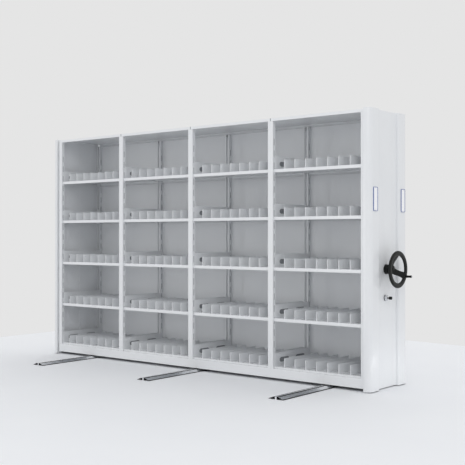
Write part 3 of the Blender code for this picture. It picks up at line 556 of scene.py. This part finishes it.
class SHELVING_OT_end_panels(bpy.types.Operator):
    """Fold the drive end panel with its two pillars and the plain panel at the other end"""

    bl_idname = "shelving.end_panels"
    bl_label = "End panels"

    def execute(self, context):
        sizes = context.scene.shelving_panels
        self.fold_drive_panel(sizes)
        self.fold_plain_panel(sizes)
        return {"FINISHED"}

    def fold_drive_panel(self, sizes):
        """The panel with the pillars and the recess, bored for the handwheel shaft and the lock."""
        low, high = corners("drive_end_panel")
        recess = high[0] - sizes.recess_depth
        edge = sizes.pillar_edge
        fall = np.array([sizes.fall_depth, sizes.fall_width])
        sweep = np.array([sizes.sweep_depth, sizes.sweep_width])
        wall = -sizes.recess_width / 2

        def plan(inset):
            """Side, quarter round of the pillar's edge, its flat, quarter ellipse down to the wall and a
            longer one out to the recess, then the same again towards the rear."""
            return mirrored(np.concatenate([
                [(low[0] - sizes.drive_lap, low[1] + inset)],
                arc((high[0] - edge, low[1] + edge), edge - inset, -90.0, 0.0, 16),
                arc((high[0] - fall[0], wall - fall[1]), fall - inset, 0.0, 90.0, 12),
                arc((recess + sweep[0], wall + sweep[1]), sweep + inset, -90.0, -180.0, 16)]))

        panel = piece("drive_end_cover", folded_panel(plan, low[2], high[2], sizes),
                      "carriage", "paint", ["drive_end_panel"])
        back, front = recess - 3 * sizes.sheet, recess + 3 * sizes.sheet
        cutters = []
        for node, radius in (("handwheel_shaft", sizes.shaft_hole), ("lock_barrel", sizes.lock_hole)):
            drill = [(back, 0.0), (back, radius), (front, radius), (front, 0.0)]
            cutters.append(lathe(drill, 32, round_node(node)[2]))
        bored(panel, cutters)

    def fold_plain_panel(self, sizes):
        """The panel at the left, whose folds lie on the end posts and meet at its middle."""
        low, high = corners("plain_end_panel")
        lap = -high[1] + sizes.plain_lap
        gap = high[0] - sizes.plain_gap
        floor = low[1] + sizes.gap_depth
        edge = sizes.plain_edge

        def plan(inset):
            """Fold on the end post, shadow gap, side, quarter round and half of the plain face, then the same
            again towards the rear."""
            return mirrored(np.concatenate([
                [(high[0] - inset, lap), (high[0] - inset, floor + inset), (gap - inset, floor + inset),
                 (gap - inset, low[1] + inset)],
                arc((low[0] + edge, low[1] + edge), edge - inset, -90.0, -180.0, 12)]))

        piece("plain_end_cover", folded_panel(plan, low[2], high[2], sizes),
              "carriage", "paint", ["plain_end_panel"])


class SHELVING_OT_post_strips(bpy.types.Operator):
    """Snap a dished closing strip behind the lips of each post"""

    bl_idname = "shelving.post_strips"
    bl_label = "Post strips"

    def execute(self, context):
        sizes = context.scene.shelving_fittings
        for number, name in enumerate(named("upright_frame"), 1):
            low, high = corners(name)
            half = (high[0] - low[0]) / 2 - sizes.post_lip + sizes.strip_tuck
            across = np.linspace(-half, half, 11)
            # The strip's face is a parabola, deepest in the middle, and its back is the same curve behind it.
            lip = low[1] + sizes.post_depth - sizes.post_sheet - FIT
            face = lip - sizes.strip_dish * (1.0 - (across / half) ** 2)
            back = face - sizes.strip_sheet
            section = np.stack([np.append(across, across[::-1]), np.append(face, back[::-1])], axis=-1)
            section[:, 0] += (low[0] + high[0]) / 2
            heights = (low[2] + sizes.strip_foot, high[2] - sizes.strip_short)
            strips = [lofted([section * (1.0, side)] * 2, heights, axis=2) for side in (1.0, -1.0)]
            piece(f"post_strips_{number}", joined(*strips), "carriage", "paint")
        return {"FINISHED"}


class SHELVING_OT_hook_slots(bpy.types.Operator):
    """Lay the rows of hook slots up both sides of the posts, as thin patches of painted shade"""

    bl_idname = "shelving.hook_slots"
    bl_label = "Hook slots"

    def execute(self, context):
        sizes = context.scene.shelving_fittings
        half = sizes.slot_width / 2
        outline = rounded_rectangle(half, sizes.slot_height / 2, half, 3)
        frames = named("upright_frame")
        for number, name in enumerate(frames, 1):
            low, high = corners(name)
            # The end frames have no slots on the side of their end panel.
            faces = [(low[0], -1.0)] if name != frames[0] else []
            faces += [(high[0], 1.0)] if name != frames[-1] else []
            rows = np.arange(low[2] + 2 * sizes.slot_pitch, high[2] - sizes.slot_pitch, sizes.slot_pitch)
            posts = (low[1] + sizes.post_depth / 2, high[1] - sizes.post_depth / 2)
            slots = []
            for place, side in faces:
                # Each slot is a thin patch of painted shade where the hole would be: its outline at two
                # depths, moved to its post and up it by the pitch.
                depths = place + side * np.array([-sizes.slot_proud, sizes.slot_proud])
                slots += [lofted([outline + (post, row)] * 2, depths) for post in posts for row in rows]
            piece(f"hook_slots_{number}", joined(*slots), "carriage", "slot")
        return {"FINISHED"}


class SHELVING_OT_hand_slots(bpy.types.Operator):
    """Set a dished grey sheet of painted shade behind each hand slot of the bracket plates"""

    bl_idname = "shelving.hand_slots"
    bl_label = "Hand slot backings"

    def execute(self, context):
        sizes = context.scene.shelving_fittings
        half = np.array([sizes.hand_length, sizes.hand_height]) / 2
        margin, gap, sheet, dish = 0.004, 0.002, 0.001, 0.004
        # Three outlines: two of the flat rim behind the plate, then one that steps in and away from it.
        rims = [rounded_rectangle(*half, half[1], 6, outset) for outset in (margin, margin, -dish)]
        depths = np.array([gap, gap + sheet, gap + dish])
        for bay in BAYS:
            backings = []
            for low, high in shelves(bay):
                for face, side in ((low[0], -1.0), (high[0], 1.0)):
                    for place in (-sizes.hand_place, sizes.hand_place):
                        middle = np.array([place, high[2] - sizes.hand_drop])
                        backings.append(lofted([rim + middle for rim in rims], face + side * depths))
            piece(f"hand_slot_backings_{bay}", joined(*backings), "carriage", "shaded_hollow")
        return {"FINISHED"}


class SHELVING_OT_divider_hems(bpy.types.Operator):
    """Roll a hem along the top edge of each divider"""

    bl_idname = "shelving.divider_hems"
    bl_label = "Divider hems"

    def execute(self, context):
        sizes = context.scene.shelving_fittings
        turn = np.linspace(0.0, math.tau, 12, endpoint=False)
        oval = np.stack([np.cos(turn) * sizes.hem_width, np.sin(turn) * sizes.hem_height], axis=-1) / 2
        # Six rings along the depth, of which the outer two at each end shrink into a round end.
        swell = np.array([0.3, 0.8, 1.0, 1.0, 0.8, 0.3])
        ends = np.array([0.0, 0.0006, 0.002])
        along = np.append(ends, sizes.hem_length - ends[::-1])
        points, faces = lofted(swell[:, None, None] * oval, along, axis=1)
        for bay in BAYS:
            hems = []
            for low, high in shelves(bay):
                step = (high[0] - low[0] + 2 * FIT) / (sizes.divider_count + 1)
                left = low[0] - FIT - sizes.divider_sheet / 2
                start = (left, low[1] + sizes.hem_start, high[2] - sizes.hem_drop)
                hems += [(points + start + (number * step, 0.0, 0.0), faces)
                         for number in range(1, sizes.divider_count + 1)]
            piece(f"divider_hems_{bay}", joined(*hems), "carriage", "paint")
        return {"FINISHED"}


class SHELVING_OT_cover_seals(bpy.types.Operator):
    """Lay a sealing strip over the joint of each two top covers"""

    bl_idname = "shelving.cover_seals"
    bl_label = "Cover seals"

    def execute(self, context):
        sizes = context.scene.shelving_fittings
        proud = sizes.seal_proud
        covers = [corners(name) for name in named("top_cover")]
        for number, ((low, high), (after, _)) in enumerate(zip(covers, covers[1:]), 1):
            joint = (high[0] + after[0]) / 2
            _, front, foot = low
            _, back, top = high
            # The section is an angle: up the fascia and back over the covers, as outer and inner line.
            angle = np.array([(front - proud, foot), (front - proud, top + proud), (back, top + proud),
                              (back, top + HAIR), (front - HAIR, top + HAIR), (front - HAIR, foot)])
            ends = joint + sizes.seal_width / 2 * np.array([-1.0, 1.0])
            # The strip wears the slot finish, whose dark grey is painted shade, so that the joint reads as a
            # dark line.
            piece(f"cover_seal_{number}", lofted([angle] * 2, ends), "carriage", "slot")
        return {"FINISHED"}


class SHELVING_OT_label_holders(bpy.types.Operator):
    """Mould the two label holders and slip a blank card into each"""

    bl_idname = "shelving.label_holders"
    bl_label = "Label holders"

    def execute(self, context):
        sizes = context.scene.shelving_fittings
        rim, corner = sizes.label_rim, sizes.label_corner
        # Section of the rim, as shares of its width in from the outside and of its thickness: up the outside,
        # over a round crown and down to the back plate.
        section = np.array([(0.0, 0.0), (0.0, 0.6), (0.15, 0.88), (0.5, 1.0), (0.85, 0.9), (1.0, 0.7),
                            (1.0, 0.25)])
        # The card's edge steps in as it rises, both as shares of its thickness.
        card_inset = np.array([0.0, 0.0, 0.12, 1.0]) * sizes.card
        card_rise = np.array([0.0, 0.7, 1.0, 1.0]) * sizes.card
        for end in ("front", "rear"):
            node = f"label_holder_{end}"
            low, high = corners(node)
            middle = ((low + high) / 2)[1:]
            half = ((high - low) / 2)[1:]
            rises = low[0] + section[:, 1] * (high[0] - low[0])
            outlines = [rounded_rectangle(*half, corner, 8, -inset * rim) + middle for inset in section[:, 0]]
            piece(f"label_rim_{end}", lofted(outlines, rises), "carriage", "label", [node])
            inside = half - rim - FIT
            card = [rounded_rectangle(*inside, corner - rim, 8, -inset) + middle for inset in card_inset]
            piece(f"label_card_{end}", lofted(card, rises[-1] + FIT + card_rise),
                  "carriage", "card")
        return {"FINISHED"}


def rim_ring(sizes, middle, radius):
    """A ring whose section is a squarish oval: the radius and x follow powered cosine and sine of one angle,
    carried round the shaft by the other."""
    turn = np.linspace(0.0, math.tau, 144, endpoint=False)
    oval = squared_oval(28, (0.8, 0.8))
    reach = radius + sizes.rim_radial / 2 * oval[0]
    along = np.broadcast_to(sizes.rim_axial / 2 * oval[1], (len(turn), len(reach)))
    points = np.stack([along, np.outer(np.cos(turn), reach), np.outer(np.sin(turn), reach)], axis=-1)
    return grid(points + middle, wrap_rows=True, wrap_columns=True)


def dished_arm(sizes, start, end, axis, turn):
    """An arm from hub to rim: its middle line moves out evenly while x eases from one plane to the other, its
    width flares towards both ends, and a flattened oval is carried along it at right angles."""
    share = np.linspace(0.0, 1.0, 28)
    ease = share ** 2 * (3.0 - 2.0 * share)
    reach = start[1] + (end[1] - start[1]) * share
    along = start[0] + (end[0] - start[0]) * ease
    slope = np.stack([np.gradient(along), np.gradient(reach)])
    slope /= np.linalg.norm(slope, axis=0)
    width = sizes.arm_waist + (sizes.arm_at_hub - sizes.arm_waist) * (1.0 - share) ** 3
    width += (sizes.arm_at_rim - sizes.arm_waist) * share ** 5
    oval = squared_oval(24, (0.7, 0.85))
    across = np.outer(width / 2, oval[0])
    lift = np.outer(np.full(len(share), sizes.arm_thickness / 2), oval[1])
    x = along[:, None] + slope[1][:, None] * lift
    out = reach[:, None] - slope[0][:, None] * lift
    points = np.stack([x, axis[1] + out * math.cos(turn) - across * math.sin(turn),
                       axis[2] + out * math.sin(turn) + across * math.cos(turn)], axis=-1)
    return grid(points, wrap_columns=True, caps=True)


class SHELVING_OT_handwheel(bpy.types.Operator):
    """Mould the handwheel with its dished arms, the grip on its bolt and the shaft housing"""

    bl_idname = "shelving.handwheel"
    bl_label = "Handwheel"

    def execute(self, context):
        sizes = context.scene.shelving_wheel
        self.make_wheel(sizes)
        self.make_grip(sizes)
        self.make_housing()
        return {"FINISHED"}

    def make_wheel(self, sizes):
        """The rim and its arms, a hub with rounded edges, and a domed cap that sits in the hub's face."""
        low, high, axis, outer = round_node("handwheel")
        rim = high[0] - sizes.rim_axial / 2
        radius = outer - sizes.rim_radial / 2
        ring = rim_ring(sizes, (rim, axis[1], axis[2]), radius)
        hub, face, wide = low[0], low[0] + sizes.hub_length, sizes.hub_radius
        root = (hub + sizes.hub_length / 2, wide * 0.6)
        turns = sizes.arm_turn + np.arange(sizes.arm_count) * math.tau / sizes.arm_count
        arms = [dished_arm(sizes, root, (rim, radius), axis, turn) for turn in turns]
        cap, seat, dome = 0.0175, face - 0.0015, face + 0.0035
        body = [(hub, 0.0), *stepped(hub, wide, [(0, -6), (1, -3), (3, -1), (6, 0)]),
                *stepped(face, wide, [(-9, 0), (-5, -1.5), (-2, -5), (0, -11)]),
                *stepped(face, cap, [(0, 1.5), (-1.5, 0.5)]), (seat, 0.0)]
        lid = [(seat, 0.0), *stepped(seat, cap, [(0, 0), (1.5, 0), (2.5, -1), (4.5, -7.5)]), (dome, 0.0)]
        piece("handwheel_rim", ring, "handwheel", "plastic", ["handwheel"])
        piece("handwheel_arms", joined(*arms), "handwheel", "plastic")
        piece("handwheel_hub", lathe(body, 64, axis), "handwheel", "plastic")
        piece("handwheel_cap", lathe(lid, 48, axis), "handwheel", "plastic")

    def make_grip(self, sizes):
        """The grip is a waisted bar with round ends, and its bolt a domed head on a plain shank."""
        low, high, axis, wide = round_node("crank_grip")
        shank, round_end = 0.004, 0.003
        # The waist is a squared sine along the bar, and each end drops away by a quarter circle.
        share = np.linspace(0.0, 1.0, 25)
        waist = wide - sizes.grip_waist * np.sin(math.pi * share) ** 2
        ends = np.minimum(share, 1.0 - share) * (high[0] - low[0])
        inside = np.maximum(round_end - ends, 0.0)
        drop = round_end - np.sqrt(np.maximum(round_end ** 2 - inside ** 2, 0.0))
        profile = np.stack([low[0] + (high[0] - low[0]) * share, waist - drop], axis=-1)
        bore = [(high[0], shank + PLAY), (low[0], shank + PLAY)]
        piece("crank_grip_bar", lathe(np.concatenate([profile, bore]), 40, axis, wrapped=True),
              "crank_grip", "plastic", ["crank_grip"])
        bolt_low, bolt_high, _, head = round_node("grip_bolt")
        root, seat, tip = bolt_low[0], high[0] + FIT, bolt_high[0]
        socket = tip - 0.0012
        bolt = [(root, 0.0), (root, shank), (seat, shank), (seat, head), (seat + 0.4 * (tip - seat), head),
                (tip - 0.0004, head * 0.72), (tip, head * 0.45), (socket, head * 0.4), (socket, 0.0)]
        piece("grip_bolt_turned", lathe(bolt, 32, axis), "handwheel", "steel", ["grip_bolt"])

    def make_housing(self):
        """The housing is a round boss with a stepped foot and a rounded shoulder, bored for the shaft."""
        low, high, axis, wide = round_node("shaft_housing")
        bore = round_node("handwheel_shaft")[3] + PLAY
        step, fillet = 0.002, 0.006
        shoulder = arc((high[0] - fillet, wide - step - fillet), fillet, 90.0, 0.0, 6)
        profile = [(low[0], bore), *stepped(low[0], wide, [(0, -0.6), (0.6, 0), (5, 0), (6.5, -2)]),
                   *shoulder, *stepped(high[0], bore, [(0, 4), (-1, 0)])]
        piece("shaft_housing_boss", lathe(profile, 64, axis, wrapped=True),
              "carriage", "plastic", ["shaft_housing"])


class SHELVING_OT_lock(bpy.types.Operator):
    """Turn the lock's chromed barrel and mould the bow of its key"""

    bl_idname = "shelving.lock"
    bl_label = "Lock and key"

    def execute(self, context):
        sizes = context.scene.shelving_panels
        low, high, axis, wide = round_node("lock_barrel")
        panel = corners("drive_end_panel")[1][0] - sizes.recess_depth + FIT
        tail, barrel, plug = sizes.lock_hole - 0.0007, wide - 0.0015, 0.0105
        root, tip = low[0], high[0]
        profile = [(root, 0.0), *stepped(root, tail, [(0, -1), (1, 0)]), (panel, tail), (panel, barrel),
                   *stepped(tip, barrel, [(-5, -1), (-1.8, -1.9), (-0.4, -3.7), (0, -6)]),
                   *stepped(tip, plug, [(0, 0), (-0.8, -0.7)]), (tip - 0.0008, 0.0)]
        piece("lock_barrel_turned", lathe(profile, 64, axis), "carriage", "chrome", ["lock_barrel"])
        collar = [(panel, barrel + HAIR), *stepped(panel, wide, [(0, -0.6), (0.6, 0), (4, 0), (5, -0.6)]),
                  (panel + 0.005, barrel + HAIR)]
        piece("lock_collar", lathe(collar, 64, axis, wrapped=True), "carriage", "plastic")
        self.make_key(tip + FIT)
        return {"FINISHED"}

    def make_key(self, face):
        """The bow is a rounded plate whose edge is a half round: outlines of shrinking and growing inset at
        their places across its thickness. A flat blade joins it to the lock."""
        low, high = corners("lock_key")
        centre = (low + high) / 2
        edge = (high[1] - low[1]) / 2
        blade, tuck, blade_half, blade_edge, corner = 0.004, 0.002, 0.0045, 0.0008, 0.009
        bow = np.array([(face + blade + high[0]) / 2, centre[2]])
        half = np.array([high[0] - face - blade, high[2] - low[2]]) / 2
        bend = np.radians(np.linspace(-90.0, 90.0, 9))
        outlines = [rounded_rectangle(*half, corner, 8, inset) + bow for inset in edge * (np.cos(bend) - 1.0)]
        plate = lofted(outlines, centre[1] + edge * np.sin(bend), axis=1)
        section = rounded_rectangle(edge * 0.6, blade_half, blade_edge, 3) + centre[1:]
        stem = lofted([section] * 2, (face, face + blade + tuck))
        piece("lock_key_bow", joined(plate, stem), "lock_key", "plastic", ["lock_key"])


def flanged_wheel(node, bore):
    """A wheel turned to run on the bar: a flange at each side of a plain tread, round lips and a shallow web
    on each face, closed round its bore."""
    low, high, axis, rim = round_node(node)
    side = (low[0] - high[0]) / 2
    hub = stepped(side, bore, [(0, 0), (0, 8), (2, 10)])
    flange = stepped(side, rim, [(2, -12), (0, -10), (0, -1.2), (1.2, 0), (2.8, 0), (3.8, -1.2), (4, -5)])
    near = np.array(hub + flange)
    profile = np.concatenate([near, near[::-1] * (-1.0, 1.0)])
    return lathe(profile + ((low[0] + high[0]) / 2, 0.0), 56, axis, wrapped=True)


def sprocket_ring(node, teeth, bore):
    """A toothed disc: the outer radius dips between teeth by the powered cosine of the turn times the tooth
    count, and four rings of points, bore and teeth at both faces, close on each other."""
    low, high, axis, tip = round_node(node)
    tooth_depth, tooth_points = 0.004, 10
    turn = np.linspace(0.0, math.tau, teeth * tooth_points, endpoint=False)
    wave = 0.5 + 0.5 * np.cos(turn * teeth)
    edge = tip - tooth_depth * (1.0 - wave ** 0.6)
    inner = np.full(len(turn), bore)
    x = np.array([low[0], low[0], high[0], high[0]])
    reach = np.stack([inner, edge, edge, inner])
    along = np.broadcast_to(x[:, None], reach.shape)
    points = np.stack([along, reach * np.cos(turn), reach * np.sin(turn)], axis=-1)
    return grid(points + np.asarray(axis), wrap_rows=True, wrap_columns=True)


def chain_links(low, high, rise, top, foot):
    """A roller chain from low to high along X, on sprockets of radius top and foot that stand a rise apart.

    Links stand at even steps along the loop of two straight runs and two arcs, and each is a pair of plates
    with a roller between them. Plates lie closer on every second link.
    """
    lean = math.asin((foot - top) / rise)
    run = rise * math.cos(lean)
    lengths = np.array([run, top * (math.pi - 2 * lean), run, foot * (math.pi + 2 * lean)])
    count = int(lengths.sum() / CHAIN_PITCH / 2) * 2
    way = np.arange(count) * lengths.sum() / count
    starts = np.append(0.0, np.cumsum(lengths))
    stage = np.searchsorted(starts, way, side="right") - 1
    share = way - starts[stage]
    over = lean + share / top
    under = math.pi - lean + share / foot
    # Stages are the way up, over the top, the way down and under the foot. The heading is the turn of the
    # outward side from +Y towards +Z.
    heading = np.choose(stage, [lean, over, math.pi - lean, under])
    y = np.choose(stage, [foot * math.cos(lean) - share * math.sin(lean), top * np.cos(over),
                          -top * math.cos(lean) - share * math.sin(lean), foot * np.cos(under)])
    z = np.choose(stage, [foot * math.sin(lean) + share * math.cos(lean), rise + top * np.sin(over),
                          rise + top * math.sin(lean) - share * math.cos(lean), foot * np.sin(under)])
    plate_half, plate_swell, plate_reach, plate_sheet = 0.0028, 0.0006, 0.72 * CHAIN_PITCH, 0.001
    roller_radius, roller_inset, closer = 0.0024, 0.002, 0.72
    turn = np.linspace(0.0, math.tau, 12, endpoint=False)
    plate = np.stack([np.cos(turn) * (plate_half + plate_swell * np.sin(turn) ** 2),
                      np.sin(turn) * plate_reach], axis=-1)
    roller = np.stack([np.cos(turn), np.sin(turn)], axis=-1) * roller_radius
    spot = np.stack([y, z], axis=-1)[:, None]
    outward = np.stack([np.cos(heading), np.sin(heading)], axis=-1)[:, None]
    forward = np.stack([-np.sin(heading), np.cos(heading)], axis=-1)[:, None]
    middle, half = (low + high) / 2, (high - low) / 2
    links = []
    for odd in (0, 1):
        wide = half * (closer if odd else 1.0)
        parts = [(plate, -wide, plate_sheet - wide), (plate, wide - plate_sheet, wide),
                 (roller, roller_inset - half, half - roller_inset)]
        for outline, start, end in parts:
            flat = spot + outline[:, :1] * outward + outline[:, 1:] * forward
            links += [lofted([link] * 2, (start + middle, end + middle)) for link in flat[odd::2]]
    return joined(*links)


class SHELVING_OT_running_gear(bpy.types.Operator):
    """Turn the wheels, axle, shaft and sprockets and link the drive chain"""

    bl_idname = "shelving.running_gear"
    bl_label = "Running gear"

    def execute(self, context):
        self.make_bar("drive_axle", "drive_axle")
        self.make_bar("handwheel_shaft", "handwheel")
        pin_bore = 0.0084
        for kind, bore in (("drive_wheel", round_node("drive_axle")[3] + FIT), ("idle_wheel", pin_bore)):
            for place in ("left", "middle", "right"):
                node = f"{kind}_{place}"
                body = "drive_axle" if kind == "drive_wheel" else node
                piece(f"{node}_turned", flanged_wheel(node, bore), body, "iron", [node])
        rings = []
        for node, teeth, body, shaft in (("upper_sprocket", 10, "handwheel", "handwheel_shaft"),
                                         ("lower_sprocket", 18, "drive_axle", "drive_axle")):
            ring = sprocket_ring(node, teeth, round_node(shaft)[3] + FIT)
            piece(f"{node}_cut", ring, body, "steel", [node])
            rings.append((round_node(node)[2], CHAIN_PITCH * teeth / math.tau))
        (top, top_radius), (foot, foot_radius) = rings
        low, high = corners("drive_chain")
        points, faces = chain_links(low[0], high[0], top[2] - foot[2], top_radius, foot_radius)
        piece("drive_chain_links", (points + foot, faces),
              "carriage", "steel", ["drive_chain"])
        return {"FINISHED"}

    def make_bar(self, node, body):
        """A round bar with a small chamfer at both ends."""
        low, high, axis, wide = round_node(node)
        profile = [(low[0], 0.0), *stepped(low[0], wide, [(0, -0.8), (0.8, 0)]),
                   *stepped(high[0], wide, [(-0.8, 0), (0, -0.8)]), (high[0], 0.0)]
        piece(f"{node}_bar", lathe(profile, 40, axis), body, "steel", [node])


def floor_finish(stage):
    """Pale sheet vinyl, laid smooth."""
    # A near-white floor with a trace of cloud, matte enough to hold a soft shadow. Its dull wear layer
    # mirrors little, so the floor stays bright towards its far edge. The clouds are about 0.8 m across.
    made, tree, shader, place = new_finish("pale sheet vinyl", 0.7, specular=0.1)
    clouds = add_node(tree, "ShaderNodeTexNoise",
                      {"Scale": 1.2, "Detail": 2.0, "Vector": place}).outputs["Fac"]
    tint = add_node(tree, "ShaderNodeMix",
                    {"data_type": "RGBA", 0: clouds, 6: rgba(stage.floor), 7: rgba(stage.floor_shade)})
    tree.links.new(tint.outputs[2], shader.inputs["Base Color"])
    return made


class SHELVING_OT_stage(bpy.types.Operator):
    """Lay the floor and set the background, the light and the camera"""

    bl_idname = "shelving.stage"
    bl_label = "Stage"

    def execute(self, context):
        stage = context.scene.shelving_stage
        self.lay_floor(stage)
        self.set_background(context, stage)
        self.set_lamps(context, stage)
        self.set_camera(context, stage)
        context.scene.view_settings.view_transform = "Standard"
        return {"FINISHED"}

    def lay_floor(self, stage):
        """Four corners blended over a grid. Its two far edges are where the background starts."""
        far, left = np.array([-3.62, 3.49]), np.array([-3.40, -14.0])
        right, near = np.array([14.0, 1.40]), np.array([14.0, -14.0])
        even = np.linspace(0.0, 1.0, 13)
        across, along = (share[..., None] for share in np.meshgrid(even, even, indexing="ij"))
        back, front = far * (1 - across) + right * across, left * (1 - across) + near * across
        vertices, faces = grid(np.insert(back * (1 - along) + front * along, 2, FLOOR_LEVEL, axis=-1))
        mesh = bpy.data.meshes.new("floor")
        mesh.from_pydata(vertices.tolist(), [], faces)
        floor = bpy.data.objects.new("floor", mesh)
        bpy.context.scene.collection.objects.link(floor)
        if mesh.polygons[0].normal.z < 0:
            mesh.flip_normals()
        mesh.materials.append(floor_finish(stage))

    def set_background(self, context, stage):
        """Even light from all round, while camera, glossy and transmission rays see the plain background."""
        world = bpy.data.worlds.new("soft light")
        context.scene.world = world
        world.use_nodes = True
        tree = world.node_tree
        tree.nodes.clear()
        rays = add_node(tree, "ShaderNodeLightPath").outputs
        seen = add_node(tree, "ShaderNodeMath",
                        {"operation": "MAXIMUM", 0: rays["Is Camera Ray"], 1: rays["Is Glossy Ray"]})
        seen = add_node(tree, "ShaderNodeMath",
                        {"operation": "MAXIMUM", 0: seen.outputs[0], 1: rays["Is Transmission Ray"]})
        light = add_node(tree, "ShaderNodeBackground", {"Color": (1.0, 1.0, 1.0, 1.0), "Strength": stage.sky})
        plain = add_node(tree, "ShaderNodeBackground", {"Color": rgba(stage.wall), "Strength": 1.0})
        mixed = add_node(tree, "ShaderNodeMixShader",
                         {0: seen.outputs[0], 1: light.outputs[0], 2: plain.outputs[0]})
        add_node(tree, "ShaderNodeOutputWorld", {"Surface": mixed.outputs[0]})

    def set_lamps(self, context, stage):
        """A tall lamp before the shelving, one over the camera, a small one at the drive end's foot and a
        wide one over the floor, each turned to face its point."""
        for name, (size, place, aim) in LAMPS.items():
            lamp = bpy.data.lights.new(name, "AREA")
            lamp.shape = "RECTANGLE"
            lamp.size, lamp.size_y = size
            lamp.energy = getattr(stage, name)
            made = bpy.data.objects.new(name, lamp)
            context.scene.collection.objects.link(made)
            facing = (Vector(aim) - Vector(place)).to_track_quat("-Z", "Y").to_matrix().to_4x4()
            made.matrix_world = Matrix.Translation(place) @ facing
        # The foot lamp stands for light thrown up by the floor, so it falls on the drive end panel alone.
        lit = bpy.data.collections.new("drive end")
        lit.objects.link(bpy.data.objects["drive_end_cover"])
        bpy.data.objects["foot"].light_linking.receiver_collection = lit

    def set_camera(self, context, stage):
        """The camera stands off the right front corner, about level with the middle of the shelving."""
        made = bpy.data.cameras.new("camera")
        made.lens = stage.lens
        made.sensor_width = 36.0
        made.clip_end = 200.0
        camera = bpy.data.objects.new("camera", made)
        context.scene.collection.objects.link(camera)
        tilt = Matrix.Rotation(CAMERA_TILT, 4, "X")
        turn = Matrix.Rotation(CAMERA_TURN, 4, "Z")
        camera.matrix_world = Matrix.Translation(CAMERA_PLACE) @ turn @ tilt
        context.scene.camera = camera


class SHELVING_PT_tools(bpy.types.Panel):
    """Steps that dress the shelving"""

    bl_idname = "SHELVING_PT_tools"
    bl_label = "Compact mobile shelving"
    bl_space_type = "VIEW_3D"
    bl_region_type = "UI"
    bl_category = "Shelving"

    def draw(self, context):
        for step in STEPS:
            self.layout.operator(step.bl_idname)
        for group in GROUPS:
            box = self.layout.box()
            settings = getattr(context.scene, group)
            for name in settings.__annotations__:
                box.prop(settings, name)


GROUPS = {
    "shelving_panels": ShelvingPanelSizes,
    "shelving_wheel": ShelvingWheelSizes,
    "shelving_fittings": ShelvingFittingSizes,
    "shelving_finishes": ShelvingFinishes,
    "shelving_stage": ShelvingStage,
}
STEPS = [SHELVING_OT_sheet_metal, SHELVING_OT_end_panels, SHELVING_OT_post_strips, SHELVING_OT_hook_slots,
         SHELVING_OT_hand_slots, SHELVING_OT_divider_hems, SHELVING_OT_cover_seals, SHELVING_OT_label_holders,
         SHELVING_OT_handwheel, SHELVING_OT_lock, SHELVING_OT_running_gear, SHELVING_OT_stage]


def register():
    """Registers the settings, the steps and the sidebar panel."""
    for kind in (*GROUPS.values(), *STEPS, SHELVING_PT_tools):
        bpy.utils.register_class(kind)
    for name, kind in GROUPS.items():
        setattr(bpy.types.Scene, name, PointerProperty(type=kind))


def unregister():
    """Takes away what register added."""
    for name in GROUPS:
        delattr(bpy.types.Scene, name)
    for kind in (SHELVING_PT_tools, *reversed(STEPS), *reversed(GROUPS.values())):
        bpy.utils.unregister_class(kind)


def main():
    """Dresses the frame step by step."""
    register()
    bpy.ops.shelving.sheet_metal()
    bpy.ops.shelving.end_panels()
    bpy.ops.shelving.post_strips()
    bpy.ops.shelving.hook_slots()
    bpy.ops.shelving.hand_slots()
    bpy.ops.shelving.divider_hems()
    bpy.ops.shelving.cover_seals()
    bpy.ops.shelving.label_holders()
    bpy.ops.shelving.handwheel()
    bpy.ops.shelving.lock()
    bpy.ops.shelving.running_gear()
    bpy.ops.shelving.stage()


if __name__ == "__main__":
    main()
